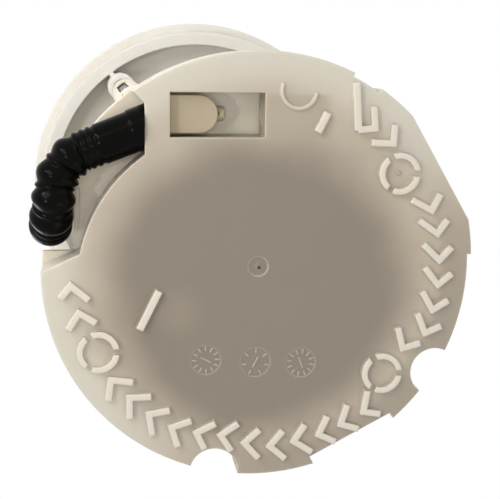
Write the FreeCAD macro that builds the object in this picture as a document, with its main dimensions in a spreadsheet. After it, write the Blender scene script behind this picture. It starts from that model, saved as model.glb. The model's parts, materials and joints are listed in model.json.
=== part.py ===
"""In-tank fuel pump module, seen from below in the photograph.

A ribbed reservoir base and cup hang under a round tank flange on three
sprung guide rods.  The cup holds an electric turbine pump, a jet pump fed by
a corrugated return hose, and a level sender with its float arm.

Lengths are millimetres.  +Z points up to the tank flange.  The origin is the
centre of the base, level with the tips of its ribs.
"""
import FreeCAD, Part
import math
import os

import Sketcher

SIZES = {
    # reservoir base, measured on its underside
    "base_radius": 56.25,
    "rim_right": 0.4,
    "rim_down": 0.75,
    "base_plate": 2.5,
    "rim_wall": 2.2,
    "rib_height": 1.5,
    "tray_depth": 8.0,
    "shoulder_thickness": 1.5,
    "notch_radius": 6.5,
    "notch_circle": 57.1,
    "notch_angle_a": 31.5,
    "notch_angle_b": 101.4,
    "recess_distance": 53.7,
    "recess_width": 25.0,
    "recess_shift": 1.0,
    "sender_angle": 62.2,
    "chord_distance": 54.5,
    "chord_angle": 329.0,
    "chord_width": 42.0,
    "raised_rim_radius": 57.7,
    "raised_rim_start": 340.0,
    "raised_rim_span": 17.5,
    "lowered_rim_radius": 54.7,
    "lowered_rim_start": 296.0,
    "lowered_rim_span": 8.5,
    # channel that the hose lies in
    "channel_wall_offset": 29.3,
    "channel_back_radius": 41.2,
    "channel_back_left": 5.6,
    "channel_back_down": 4.6,
    "channel_end_left": 47.1,
    "channel_end_up": 3.3,
    "channel_end_slope": 24.9,
    "channel_nose_up": 42.0,
    # ribs on the underside
    "chevron_width": 1.7,
    "ring_outer": 5.5,
    "ring_width": 1.55,
    "ring_gap": 1.6,
    "bar_width": 1.85,
    "dial_radius": 4.0,
    "dial_depth": 0.12,
    "gate_crater_radius": 2.6,
    "gate_crater_depth": 0.3,
    "gate_cone_radius": 1.2,
    "gate_tip_radius": 0.3,
    "arc_rib_right": 9.9,
    "arc_rib_up": 45.5,
    "arc_rib_radius": 4.9,
    "arc_rib_width": 0.8,
    "arc_rib_height": 0.7,
    "arc_rib_start": 5.0,
    "arc_rib_span": 200.0,
    # jet pump in the base
    "window_left": 23.0,
    "window_right": 1.3,
    "window_top": 44.9,
    "window_bottom": 33.5,
    "chamber_wall": 1.4,
    "jet_height": 8.0,
    "jet_line": 39.2,
    "jet_nozzle_radius": 2.8,
    "jet_nozzle_tip": 8.5,
    "jet_body_radius": 4.9,
    "jet_body_left": 15.4,
    "jet_body_low": 4.5,
    "jet_body_high": 11.5,
    "jet_bore": 1.0,
    "jet_seat_radius": 2.4,
    "mixing_radius": 3.2,
    "mixing_bore": 2.0,
    "mixing_elbow": 14.0,
    "mixing_top": 26.0,
    # hose and its barbs
    "hose_radius": 5.7,
    "hose_bore": 4.1,
    "barb_radius": 4.0,
    "barb_bore": 2.5,
    "barb_length": 12.0,
    "port_height": 6.0,
    "port_up": 35.8,
    "port_bore_depth": 5.5,
    "hose_corner_left": 51.0,
    "hose_corner_up": 27.3,
    "hose_riser_left": 53.6,
    "hose_riser_up": 9.1,
    "hose_corner_bend": 12.0,
    "hose_riser_bend": 11.0,
    "hose_slot_start": 19.5,
    "hose_slot_end": 3.0,
    "hose_slot_inner": 46.0,
    # reservoir cup
    "cup_radius": 47.5,
    "cup_wall": 2.0,
    "cup_height": 78.5,
    "cup_bead": 0.5,
    "bead_height": 4.0,
    "socket_wall": 1.8,
    "socket_height": 22.5,
    "socket_ledge_height": 10.5,
    "socket_arch_width": 14.0,
    "foot_valve_left": 22.5,
    "foot_valve_down": 25.0,
    "foot_valve_stem": 1.7,
    "foot_valve_disc": 8.5,
    "foot_valve_ports": 6.0,
    "foot_valve_port_radius": 1.7,
    "foot_valve_port_circle": 5.0,
    # reservoir lid
    "lid_radius": 46.4,
    "lid_thickness": 2.5,
    "lid_skirt_wall": 1.8,
    "lid_skirt_depth": 4.0,
    "lid_collar_wall": 2.0,
    "lid_collar_height": 14.0,
    "lid_collar_drop": 8.0,
    "lid_window_radius": 7.5,
    "lid_window_circle": 33.5,
    # guide rods, sleeves and their springs
    "rod_circle": 51.3,
    "rod_angle_a": 233.0,
    "rod_spacing": 120.0,
    "rod_radius": 2.9,
    "rod_head_radius": 3.5,
    "rod_head_length": 4.0,
    "sleeve_radius": 4.7,
    "sleeve_bore": 3.8,
    "sleeve_rise": 3.0,
    "sleeve_slot_width": 3.0,
    "sleeve_slot_margin": 12.0,
    "cap_flange": 1.5,
    "cap_plug": 5.0,
    "spring_wire": 0.8,
    "spring_turns": 9.0,
    "travel": 40.0,
    "travel_spare": 13.5,
    # tank flange
    "flange_radius": 66.0,
    "flange_thickness": 4.0,
    "spigot_radius": 62.4,
    "spigot_wall": 4.9,
    "spigot_depth": 12.0,
    "rod_socket_radius": 5.2,
    "rod_socket_depth": 30.0,
    "rod_seat": 22.0,
    "dome_radius": 46.0,
    "dome_height": 3.0,
    "flange_barb_depth": 28.0,
    "nipple_radius": 3.95,
    "nipple_height": 22.0,
    "nipple_bead": 0.6,
    "feed_right": 28.0,
    "feed_up": 22.0,
    "connector_length": 26.0,
    "connector_width": 16.0,
    "connector_wall": 2.0,
    "connector_height": 18.0,
    "connector_down": 24.0,
    "pin_spacing": 5.0,
    "pin_width": 1.6,
    "pin_thickness": 0.8,
    "pin_rise": 10.0,
    "pin_drop": 8.0,
    # electric pump
    "pump_length": 79.0,
    "shell_radius": 19.0,
    "shell_wall": 1.0,
    "shell_lip": 2.0,
    "cover_thickness": 6.0,
    "inlet_nipple_radius": 5.0,
    "inlet_nipple_length": 5.0,
    "inlet_bore": 3.0,
    "impeller_radius": 15.4,
    "impeller_thickness": 3.4,
    "impeller_gap": 0.3,
    "impeller_vanes": 18.0,
    "stage_thickness": 5.0,
    "shaft_radius": 1.6,
    "shaft_pocket_depth": 1.2,
    "bearing_radius": 3.2,
    "bearing_length": 5.0,
    "running_gap": 0.06,
    "moving_gap": 0.3,
    "fit_gap": 0.1,
    "magnet_thickness": 2.7,
    "magnet_span": 130.0,
    "magnet_length": 38.0,
    "armature_radius": 14.3,
    "armature_length": 34.0,
    "armature_slots": 8.0,
    "winding_radius": 11.5,
    "winding_length": 5.0,
    "commutator_radius": 7.0,
    "commutator_length": 6.0,
    "brush_width": 4.5,
    "brush_length": 5.5,
    "brush_spring_length": 3.6,
    "end_cap_depth": 7.5,
    "end_cap_rise": 6.0,
    "end_cap_radius": 15.5,
    "outlet_left": 8.0,
    "outlet_radius": 4.6,
    "outlet_height": 16.0,
    "outlet_bore": 3.4,
    "outlet_seat_bore": 2.0,
    "outlet_seat_height": 6.0,
    "poppet_thickness": 1.8,
    "retainer_thickness": 1.5,
    "terminal_right": 8.0,
    "terminal_spread": 6.0,
    "terminal_width": 4.8,
    "terminal_thickness": 0.8,
    "terminal_rise": 8.0,
    # pump mountings and strainer
    "isolator_wall": 2.0,
    "isolator_pad": 3.0,
    "isolator_bore": 15.0,
    "upper_isolator_height": 10.0,
    "strainer_radius": 19.2,
    "strainer_thickness": 5.5,
    "strainer_lift": 1.3,
    "strainer_collar_radius": 7.5,
    # level sender
    "sender_pad_depth": 2.0,
    "sender_width": 22.0,
    "sender_bottom": 35.0,
    "sender_height": 50.0,
    "sender_thickness": 3.4,
    "pivot_height": 60.0,
    "pivot_radius": 2.0,
    "pivot_boss_radius": 4.5,
    "pivot_boss_length": 1.6,
    "card_width": 18.0,
    "card_height": 7.0,
    "card_thickness": 0.8,
    "hub_radius": 7.0,
    "hub_length": 3.8,
    "arm_radius": 1.25,
    "arm_length": 60.0,
    "arm_rise_angle": 90.0,
    "float_thickness": 12.0,
    "float_width": 18.0,
    "float_length": 26.0,
    "float_rounding": 3.5,
    "float_shift": 1.0,
    "wiper_thickness": 0.4,
    "wiper_width": 3.0,
    "wiper_reach": 11.5,
    "wiper_lead": 50.0,
}

# Chevrons, measured one by one: angle and radius of the apex, then the inner and the outer arm.
CHEVRONS = [
    (175.1, 48.5, 5.9, 4.3),
    (166.4, 47.8, 5.2, 5.3),
    (142.7, 48.3, 5.8, 5.7),
    (134.6, 48.0, 5.7, 5.8),
    (126.4, 48.3, 5.6, 5.9),
    (118.0, 48.4, 5.5, 5.7),
    (109.9, 47.3, 5.6, 5.1),
    (102.0, 46.4, 5.6, 5.3),
    (93.9, 47.9, 5.4, 5.9),
    (85.8, 49.1, 5.5, 5.7),
    (78.0, 48.9, 5.4, 6.0),
    (69.9, 49.2, 5.5, 5.2),
    (62.2, 49.2, 5.6, 5.2),
    (54.1, 49.7, 5.9, 4.8),
    (30.0, 45.5, 5.8, 5.0),
    (22.4, 49.1, 5.8, 4.8),
    (14.7, 48.8, 5.8, 5.0),
    (6.5, 48.7, 5.9, 4.8),
    (-1.4, 48.5, 6.1, 4.8),
    (-9.9, 48.4, 6.1, 4.6),
    (-17.6, 48.1, 6.2, 4.9),
    (-42.7, 47.4, 5.8, 4.9),
    (-50.4, 46.8, 4.6, 5.6),
]
# Centres of the broken rings: right and down from the axis, as seen from below.
RING_CENTRES = [(-41.6, 21.8), (33.9, 29.6), (36.9, -24.3)]
# Straight bars: start point, direction in degrees and length.
BARS = [
    (24.6, -47.7, 86.0, 12.3),
    (14.8, -35.0, -63.5, 5.6),
    (-25.9, 5.9, 116.4, 11.3),
]
DIAL_CENTRES = [(-13.6, 24.9), (-0.4, 25.8), (11.8, 26.3)]

doc = FreeCAD.newDocument("fuel_pump_module")
sheet = doc.addObject("Spreadsheet::Sheet", "Sizes")
finished = []


class Size:
    """A length or angle that carries its number and the sheet expression for it."""

    def __init__(self, value, text):
        self.value = value
        self.text = text

    def __add__(self, other):
        other = as_size(other)
        return Size(self.value + other.value, f"({self.text} + {other.text})")

    def __sub__(self, other):
        other = as_size(other)
        return Size(self.value - other.value, f"({self.text} - {other.text})")

    def __mul__(self, other):
        other = as_size(other)
        return Size(self.value * other.value, f"{self.text} * {other.text}")

    def __truediv__(self, other):
        other = as_size(other)
        return Size(self.value / other.value, f"{self.text} / {other.text}")

    def __radd__(self, other):
        return as_size(other) + self

    def __rsub__(self, other):
        return as_size(other) - self

    def __rmul__(self, other):
        return as_size(other) * self

    def __neg__(self):
        return Size(-self.value, f"(0 - {self.text})")


def as_size(number):
    """Wrap a plain number so that it can stand in a sheet expression."""
    if isinstance(number, Size):
        return number
    return Size(float(number), f"({float(number)})")


def cosine(angle):
    angle = as_size(angle)
    return Size(math.cos(math.radians(angle.value)), f"cos({angle.text})")


def sine(angle):
    angle = as_size(angle)
    return Size(math.sin(math.radians(angle.value)), f"sin({angle.text})")


class SizeTable:
    """Writes the driving sizes to the sheet and hands each out by its name."""

    def __init__(self, sizes):
        for row, (name, value) in enumerate(sizes.items(), start=1):
            sheet.set(f"A{row}", name)
            sheet.set(f"B{row}", str(value))
            sheet.setAlias(f"B{row}", name)
            setattr(self, name, Size(value, f"Sizes.{name}"))


s = SizeTable(SIZES)
doc.recompute()


def bind(obj, prop, size):
    """Tie one property of an object to a size."""
    obj.setExpression(prop, as_size(size).text)


def put(obj, x, y, z, turn=0):
    """Place an object: its corner or centre at x, y, z, turned about Z."""
    x, y, z, turn = as_size(x), as_size(y), as_size(z), as_size(turn)
    about_z = FreeCAD.Rotation(FreeCAD.Vector(0, 0, 1), turn.value)
    obj.Placement = FreeCAD.Placement(FreeCAD.Vector(x.value, y.value, z.value), about_z)
    bind(obj, "Placement.Base.x", x)
    bind(obj, "Placement.Base.y", y)
    bind(obj, "Placement.Base.z", z)
    return obj


def cylinder(name, radius, bottom, top, at=(0, 0), span=360, turn=0):
    obj = doc.addObject("Part::Cylinder", name)
    bind(obj, "Radius", radius)
    bind(obj, "Height", as_size(top) - bottom)
    bind(obj, "Angle", span)
    return put(obj, at[0], at[1], bottom, turn)


def cone(name, low_radius, high_radius, bottom, top, at=(0, 0)):
    obj = doc.addObject("Part::Cone", name)
    bind(obj, "Radius1", low_radius)
    bind(obj, "Radius2", high_radius)
    bind(obj, "Height", as_size(top) - bottom)
    return put(obj, at[0], at[1], bottom)


def block(name, x, y, z):
    """A box between two values on each axis."""
    obj = doc.addObject("Part::Box", name)
    bind(obj, "Length", as_size(x[1]) - x[0])
    bind(obj, "Width", as_size(y[1]) - y[0])
    bind(obj, "Height", as_size(z[1]) - z[0])
    return put(obj, x[0], y[0], z[0])


def bar(name, at, turn, along, across, z):
    """A box turned about Z at a point, between two values along and across its own line."""
    obj = doc.addObject("Part::Box", name)
    along = (as_size(along[0]), as_size(along[1]))
    across = (as_size(across[0]), as_size(across[1]))
    bind(obj, "Length", along[1] - along[0])
    bind(obj, "Width", across[1] - across[0])
    bind(obj, "Height", as_size(z[1]) - z[0])
    x = at[0] + along[0] * cosine(turn) - across[0] * sine(turn)
    y = at[1] + along[0] * sine(turn) + across[0] * cosine(turn)
    return put(obj, x, y, z[0], turn)


def lying(obj, axis):
    """Lay a cylinder or cone down, so that it runs along the given direction from its place."""
    turn = FreeCAD.Rotation(FreeCAD.Vector(0, 0, 1), FreeCAD.Vector(*axis))
    obj.Placement = FreeCAD.Placement(obj.Placement.Base, turn)
    return obj


def along_x(name, radius, x, y, z, end_radius=None):
    """A cylinder or cone along +X between two values."""
    length = as_size(x[1]) - x[0]
    if end_radius is None:
        obj = cylinder(name, radius, 0, length)
    else:
        obj = cone(name, radius, end_radius, 0, length)
    put(obj, x[0], y, z)
    return lying(obj, (1, 0, 0))


def cut(name, base, *tools):
    """Take tools away from a base."""
    tool = tools[0] if len(tools) == 1 else fuse(name + "_cuts", *tools)
    obj = doc.addObject("Part::Cut", name)
    obj.Base = base
    obj.Tool = tool
    return obj


def fuse(name, *parts):
    obj = doc.addObject("Part::MultiFuse", name)
    obj.Shapes = list(parts)
    return obj


def fuse_in_turn(name, base, *parts):
    """Join parts to a base one after another."""
    for i, part in enumerate(parts):
        joined = doc.addObject("Part::Fuse", f"{name}_{i}")
        joined.Base = base
        joined.Tool = part
        base = joined
    return base


def cut_in_turn(name, base, *tools):
    """Take tools away from a base one after another."""
    for i, tool in enumerate(tools):
        base = cut(f"{name}_{i}", base, tool)
    return base


def tube(name, radius, bore, bottom, top, at=(0, 0)):
    outside = cylinder(name + "_outside", radius, bottom, top, at)
    inside = cylinder(name + "_bore", bore, bottom, top, at)
    return cut(name, outside, inside)


def finish(obj, node):
    """Name a finished sub-part."""
    obj.Label = node
    finished.append(obj)
    return obj


def profile_body(node, points, at=(0, 0)):
    """A turned piece: a closed outline of (radius, height) points, revolved about Z."""
    body = doc.addObject("PartDesign::Body", node + "_body")
    sketch = body.newObject("Sketcher::SketchObject", node + "_profile")
    plane = [f for f in body.Origin.OriginFeatures if f.Role == "XZ_Plane"][0]
    sketch.AttachmentSupport = [(plane, "")]
    sketch.MapMode = "FlatFace"
    points = [(as_size(r), as_size(h)) for r, h in points]
    corners = [FreeCAD.Vector(r.value, h.value, 0) for r, h in points]
    count = len(corners)
    lines = [Part.LineSegment(corners[i], corners[(i + 1) % count]) for i in range(count)]
    sketch.addGeometry(lines, False)
    for i in range(count):
        sketch.addConstraint(Sketcher.Constraint("Coincident", i, 2, (i + 1) % count, 1))
    for i, (radius, height) in enumerate(points):
        for kind, axis, size in (("DistanceX", -2, radius), ("DistanceY", -1, height)):
            if abs(size.value) < 1e-9:
                sketch.addConstraint(Sketcher.Constraint("PointOnObject", i, 1, axis))
                continue
            number = sketch.addConstraint(Sketcher.Constraint(kind, -1, 1, i, 1, size.value))
            bind(sketch, f"Constraints[{number}]", size)
    turned = body.newObject("PartDesign::Revolution", node + "_turned")
    turned.Profile = sketch
    turned.ReferenceAxis = (sketch, ["V_Axis"])
    turned.Angle = 360.0
    body.Tip = turned
    body.Placement = FreeCAD.Placement(
        FreeCAD.Vector(as_size(at[0]).value, as_size(at[1]).value, 0), FreeCAD.Rotation()
    )
    return finish(body, node)


def polar(radius, angle):
    """A point on a circle about the axis."""
    return (radius * cosine(angle), radius * sine(angle))


# Heights that several pieces share
plate_face = s.rib_height
plate_top = plate_face + s.base_plate
shoulder_bottom = plate_top + s.tray_depth
shoulder_top = shoulder_bottom + s.shoulder_thickness
cup_top = shoulder_top + s.cup_height
sleeve_top = cup_top + s.sleeve_rise
pump_low = shoulder_top + s.socket_ledge_height + s.isolator_pad
flange_low = sleeve_top + s.cap_flange + s.travel + s.travel_spare + s.rod_socket_depth
rod_angles = [s.rod_angle_a + s.rod_spacing * step for step in range(3)]
rod_points = [polar(s.rod_circle, angle) for angle in rod_angles]
window_x = (-s.window_left, s.window_right)
window_y = (-s.window_top, -s.window_bottom)
riser_at = (-s.hose_riser_left, -s.hose_riser_up)
OUTSIDE = 80.0


def outline(name, bottom, top, inset):
    """The base's outline as a solid: its round rim with notches, recess and flat, moved in by inset."""
    z = (bottom, top)
    rim = cylinder(name + "_rim", s.base_radius - inset, bottom, top, (s.rim_right, s.rim_down))
    raised = cylinder(
        name + "_raised", s.raised_rim_radius - inset, bottom, top,
        span=s.raised_rim_span, turn=s.raised_rim_start,
    )
    notches = [
        cylinder(f"{name}_notch_{i}", s.notch_radius + inset, bottom, top, polar(s.notch_circle, angle))
        for i, angle in enumerate((s.notch_angle_a, s.notch_angle_b))
    ]
    half_recess = s.recess_width / 2 + inset
    recess = bar(
        name + "_recess", (0, 0), s.sender_angle,
        (s.recess_distance - inset, OUTSIDE), (-half_recess - s.recess_shift, half_recess - s.recess_shift), z,
    )
    half_chord = s.chord_width / 2
    chord = bar(
        name + "_chord", (0, 0), s.chord_angle,
        (s.chord_distance - inset, OUTSIDE), (-half_chord, half_chord), z,
    )
    lowered = cut(
        name + "_lowered",
        cylinder(name + "_low_out", OUTSIDE, bottom, top, span=s.lowered_rim_span, turn=s.lowered_rim_start),
        cylinder(name + "_low_in", s.lowered_rim_radius - inset, bottom, top),
    )
    return cut(name, fuse(name + "_whole", rim, raised), *notches, recess, chord, lowered)


def channel(name, bottom, top, grow):
    """The space that the hose lies in, grown sideways on every wall."""
    z = (bottom, top)
    space = block(
        name + "_space",
        (-OUTSIDE, -s.channel_wall_offset + grow), (-OUTSIDE, s.channel_end_up + OUTSIDE / 8), z,
    )
    back = cylinder(
        name + "_back", s.channel_back_radius - grow, bottom, top,
        (-s.channel_back_left, s.channel_back_down),
    )
    end_at = (-s.channel_end_left, -s.channel_end_up)
    end = bar(name + "_end", end_at, -s.channel_end_slope, (-OUTSIDE, OUTSIDE), (grow, OUTSIDE), z)
    nose_at = (-s.channel_wall_offset, -s.channel_nose_up)
    nose = bar(name + "_nose", nose_at, 45, (-OUTSIDE, OUTSIDE), (-OUTSIDE, -grow), z)
    return cut(name, space, back, end, nose)


def chevron(name, angle, radius, inner_arm, outer_arm):
    """A V-shaped rib whose point faces the next one round the ring."""
    apex = polar(radius, angle)
    half = s.chevron_width / 2
    z = (0, plate_face + s.base_plate / 2)
    outer = bar(name + "_outer", apex, angle - 45, (-half, outer_arm), (-half, half), z)
    inner = bar(name + "_inner", apex, angle + 225, (-half, inner_arm), (-half, half), z)
    return [outer, inner]


def broken_ring(name, at, gaps=(0, 120, 240)):
    """A ring rib in three arcs."""
    top = plate_face + s.base_plate / 2
    ring = tube(name + "_ring", s.ring_outer, s.ring_outer - s.ring_width, 0, top, at)
    half = s.ring_gap / 2
    slots = [
        bar(f"{name}_slot_{gap}", at, gap, (0, s.ring_outer + 1), (-half, half), (-1, plate_face))
        for gap in gaps
    ]
    return cut(name, ring, *slots)


def port_heading():
    """The level direction of the hose port, from its wall toward the hose's first corner."""
    across = s.channel_wall_offset.value - s.hose_corner_left.value
    along = s.port_up.value - s.hose_corner_up.value
    return FreeCAD.Vector(across, along, 0).normalize()


def port_point(distance):
    """A point on the port's line, at a distance out from its wall."""
    wall_point = FreeCAD.Vector(-s.channel_wall_offset.value, -s.port_up.value, s.port_height.value)
    return wall_point + port_heading() * distance


def port_cylinder(name, radius, start, end):
    """A cylinder on the port's line between two distances from its wall."""
    obj = doc.addObject("Part::Cylinder", name)
    bind(obj, "Radius", radius)
    bind(obj, "Height", as_size(end) - start)
    turn = FreeCAD.Rotation(FreeCAD.Vector(0, 0, 1), port_heading())
    obj.Placement = FreeCAD.Placement(port_point(as_size(start).value), turn)
    return obj


def make_base():
    """The moulded tray under the cup, with its ribs, hose port and jet pump chamber."""
    outside = outline("base_outline", plate_face, shoulder_bottom, 0)
    body = cut("base_tray", outside, channel("base_channel", 0, shoulder_bottom, 0))
    hollow = cut(
        "base_hollow",
        outline("base_hollow_outline", plate_top, shoulder_bottom + 1, s.rim_wall),
        channel("base_channel_wall", 0, shoulder_bottom + 1, s.rim_wall),
    )
    chevrons = []
    for i, measured in enumerate(CHEVRONS):
        chevrons += chevron(f"chevron_{i}", *measured)
    ribs = [broken_ring(f"ring_{i}", at) for i, at in enumerate(RING_CENTRES)]
    half_bar = s.bar_width / 2
    rib_z = (0, plate_face + s.base_plate / 2)
    for i, (x, y, turn, length) in enumerate(BARS):
        ribs.append(bar(f"bar_{i}", (x, y), turn, (0, length), (-half_bar, half_bar), rib_z))

    arc_at = (s.arc_rib_right, -s.arc_rib_up)
    arc_z = (plate_face - s.arc_rib_height, plate_face + s.base_plate / 2)
    ribs.append(cut(
        "arc_rib",
        cylinder("arc_rib_outside", s.arc_rib_radius, *arc_z, arc_at, s.arc_rib_span, s.arc_rib_start),
        cylinder("arc_rib_inside", s.arc_rib_radius - s.arc_rib_width, *arc_z, arc_at),
    ))

    wall = s.chamber_wall
    chamber_z = (plate_top - 1, shoulder_bottom)
    chamber_top = -s.window_bottom + wall
    block_left = -s.channel_wall_offset + 1
    inner_walls = [
        block("chamber_right", (s.window_right, s.window_right + wall), (-s.window_top, chamber_top), chamber_z),
        block("chamber_bottom", (block_left, s.window_right), (-s.window_bottom, chamber_top), chamber_z),
        block("nozzle_block", (block_left, -s.window_left), window_y, chamber_z),
    ]
    barb = port_cylinder("port_barb", s.barb_radius, -s.rim_wall, s.barb_length)
    bore = port_cylinder("port_bore", s.barb_bore, -s.rim_wall - s.port_bore_depth, s.barb_length + 1)
    seat = along_x(
        "nozzle_seat", s.jet_seat_radius + s.fit_gap,
        (-s.channel_wall_offset + 2.5, -s.window_left), -s.jet_line, s.jet_height,
    )
    mixing_hole = along_x(
        "mixing_hole", s.mixing_radius + s.fit_gap,
        (s.window_right - 1, s.window_right + wall + 1), -s.jet_line, s.jet_height,
    )
    window = block("window", window_x, window_y, (0, plate_top))
    dials = [
        cylinder(f"dial_{i}", s.dial_radius, plate_face - 1, plate_face + s.dial_depth, at)
        for i, at in enumerate(DIAL_CENTRES)
    ]
    crater = cut(
        "gate_crater",
        cylinder("gate_round", s.gate_crater_radius, plate_face - 1, plate_face + s.gate_crater_depth),
        cone("gate_cone", s.gate_tip_radius, s.gate_cone_radius, plate_face, plate_face + s.gate_crater_depth),
    )
    shell = cut("base_shell", body, hollow)
    ribbed = fuse("base_ribbed", shell, *chevrons)
    solid = fuse_in_turn("base_solid", ribbed, *inner_walls, barb, *ribs)
    whole = cut_in_turn("base_whole", solid, bore, seat, mixing_hole, window, crater, *dials)
    return finish(whole, "reservoir_base")


def make_cup():
    """The reservoir cup with its shoulder, guide sleeves, pump socket and sender pad."""
    shoulder = outline("cup_shoulder", shoulder_bottom, shoulder_top, 0)
    barrel = cylinder("cup_barrel", s.cup_radius, shoulder_bottom, cup_top)
    bead = cylinder("cup_bead_ring", s.cup_radius + s.cup_bead, cup_top - s.bead_height, cup_top)
    inside = cylinder("cup_inside", s.cup_radius - s.cup_wall, shoulder_top, cup_top)
    sleeves = []
    bores = []
    for i, (at, angle) in enumerate(zip(rod_points, rod_angles)):
        sleeves.append(cylinder(f"sleeve_{i}", s.sleeve_radius, shoulder_top - 1, sleeve_top, at))
        bores.append(cylinder(f"sleeve_bore_{i}", s.sleeve_bore, shoulder_top, sleeve_top, at))
        half = s.sleeve_slot_width / 2
        slot_z = (shoulder_top + s.sleeve_slot_margin, cup_top - s.sleeve_slot_margin)
        bores.append(bar(
            f"sleeve_slot_{i}", (0, 0), angle,
            (s.rod_circle, s.rod_circle + s.sleeve_radius + 1), (-half, half), slot_z,
        ))
    half_pad = s.sender_width / 2
    pad_z = (s.sender_bottom, s.sender_bottom + s.sender_height)
    pad = bar(
        "sender_pad", (0, 0), s.sender_angle,
        (s.cup_radius - s.cup_wall, s.cup_radius + s.sender_pad_depth), (-half_pad, half_pad), pad_z,
    )
    outer = fuse("cup_outer", shoulder, barrel, bead, *sleeves, pad)
    socket_radius = s.shell_radius + s.isolator_wall + s.fit_gap + s.socket_wall
    ledge_bore = s.strainer_radius + s.moving_gap
    ledge_top = shoulder_top + s.socket_ledge_height
    socket_top = shoulder_top + s.socket_height
    socket = cut(
        "cup_socket",
        cylinder("socket_outside", socket_radius, shoulder_top - 0.5, socket_top),
        cylinder("socket_low_bore", ledge_bore, shoulder_top - 1, ledge_top),
        cylinder("socket_high_bore", socket_radius - s.socket_wall, ledge_top, socket_top),
        block("socket_arch_x", (-socket_radius, socket_radius), (-s.socket_arch_width / 2, s.socket_arch_width / 2),
              (shoulder_top, ledge_top - 2)),
        block("socket_arch_y", (-s.socket_arch_width / 2, s.socket_arch_width / 2), (-socket_radius, socket_radius),
              (shoulder_top, ledge_top - 2)),
    )
    valve_at = (-s.foot_valve_left, s.foot_valve_down)
    floor_z = (shoulder_bottom - 1, shoulder_top + 1)
    holes = [
        cylinder("valve_stem_hole", s.foot_valve_stem + s.fit_gap, *floor_z, valve_at),
        cylinder("mixing_riser_hole", s.mixing_radius + s.fit_gap, *floor_z, (s.mixing_elbow, -s.jet_line)),
    ]
    ports = int(SIZES["foot_valve_ports"])
    for i in range(ports):
        angle = 360.0 / ports * i
        x = valve_at[0] + s.foot_valve_port_circle * cosine(angle)
        y = valve_at[1] + s.foot_valve_port_circle * sine(angle)
        holes.append(cylinder(f"valve_port_{i}", s.foot_valve_port_radius, *floor_z, (x, y)))
    hose_slot = block(
        "hose_slot", (-OUTSIDE, -s.hose_slot_inner),
        (-s.hose_slot_start, -s.hose_slot_end), (0, shoulder_top),
    )
    hose_slot_clear = cut("hose_slot_clear", hose_slot, cylinder("hose_slot_keep", s.cup_radius, 0, shoulder_top))
    hollowed = cut("cup_hollowed", outer, inside, *bores, *holes, hose_slot_clear)
    return finish(fuse("cup_whole", hollowed, socket), "reservoir_cup")


def make_lid():
    """The pump carrier that snaps into the cup, with a collar for the pump and four windows."""
    top = cup_top + s.lid_thickness
    skirt_outside = s.cup_radius - s.cup_wall - s.fit_gap
    collar_radius = s.shell_radius + s.isolator_wall + s.fit_gap + s.lid_collar_wall
    collar_bottom = cup_top - s.lid_collar_drop
    plate = cylinder("lid_plate", s.lid_radius, cup_top, top)
    skirt = tube("lid_skirt", skirt_outside, skirt_outside - s.lid_skirt_wall, cup_top - s.lid_skirt_depth, cup_top + 1)
    collar = cylinder("lid_collar", collar_radius, collar_bottom, collar_bottom + s.lid_collar_height)
    collar_bore = cylinder(
        "lid_collar_bore", collar_radius - s.lid_collar_wall, collar_bottom - 1, collar_bottom + s.lid_collar_height + 1)
    windows = [
        cylinder(f"lid_window_{i}", s.lid_window_radius, cup_top - 1, top + 1, polar(s.lid_window_circle, 90 * i))
        for i in range(4)
    ]
    solid = fuse("lid_solid", plate, skirt, collar)
    return finish(cut("lid_whole", solid, collar_bore, *windows), "reservoir_lid")


def make_guides():
    """Headed rods, the stop caps on their sleeves, and the springs under the heads."""
    cap_top = sleeve_top + s.cap_flange
    cap_bottom = sleeve_top - s.cap_plug
    head_top = cap_bottom - s.fit_gap
    head_bottom = head_top - s.rod_head_length
    rod_top = flange_low - s.rod_socket_depth + s.rod_seat
    spring_bottom = shoulder_top + s.fit_gap
    for i, at in enumerate(rod_points, start=1):
        profile_body(f"guide_rod_{i}", [
            (0, head_bottom), (s.rod_head_radius, head_bottom), (s.rod_head_radius, head_top),
            (s.rod_radius, head_top), (s.rod_radius, rod_top), (0, rod_top),
        ], at)
        bore = s.rod_radius + s.moving_gap
        profile_body(f"sleeve_cap_{i}", [
            (bore, cap_bottom), (s.sleeve_bore - s.fit_gap, cap_bottom),
            (s.sleeve_bore - s.fit_gap, sleeve_top), (s.sleeve_radius, sleeve_top),
            (s.sleeve_radius, cap_top), (bore, cap_top),
        ], at)
        make_spring(
            f"rod_spring_{i}", s.sleeve_bore - s.moving_gap - s.spring_wire / 2, s.spring_wire,
            spring_bottom, head_bottom - s.fit_gap, s.spring_turns, at,
        )


def make_spring(node, radius, wire, bottom, top, turns, at):
    """A helical spring of square wire between two heights."""
    half = as_size(wire) / 2
    length = as_size(top) - bottom - wire
    helix = doc.addObject("Part::Helix", node + "_helix")
    bind(helix, "Radius", radius)
    bind(helix, "Height", length)
    bind(helix, "Pitch", length / turns)
    put(helix, at[0], at[1], as_size(bottom) + half)
    section = doc.addObject("Part::Plane", node + "_section")
    bind(section, "Length", wire)
    bind(section, "Width", wire)
    turn = FreeCAD.Rotation(FreeCAD.Vector(1, 0, 0), 90)
    x = as_size(at[0]) + radius - half
    base = FreeCAD.Vector(x.value, as_size(at[1]).value, as_size(bottom).value)
    section.Placement = FreeCAD.Placement(base, turn)
    bind(section, "Placement.Base.x", x)
    bind(section, "Placement.Base.y", at[1])
    bind(section, "Placement.Base.z", bottom)
    doc.recompute()
    sweep = doc.addObject("Part::Sweep", node + "_coil")
    sweep.Sections = [section]
    sweep.Spine = (helix, [])
    sweep.Solid = True
    sweep.Frenet = True
    return finish(sweep, node)


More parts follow.
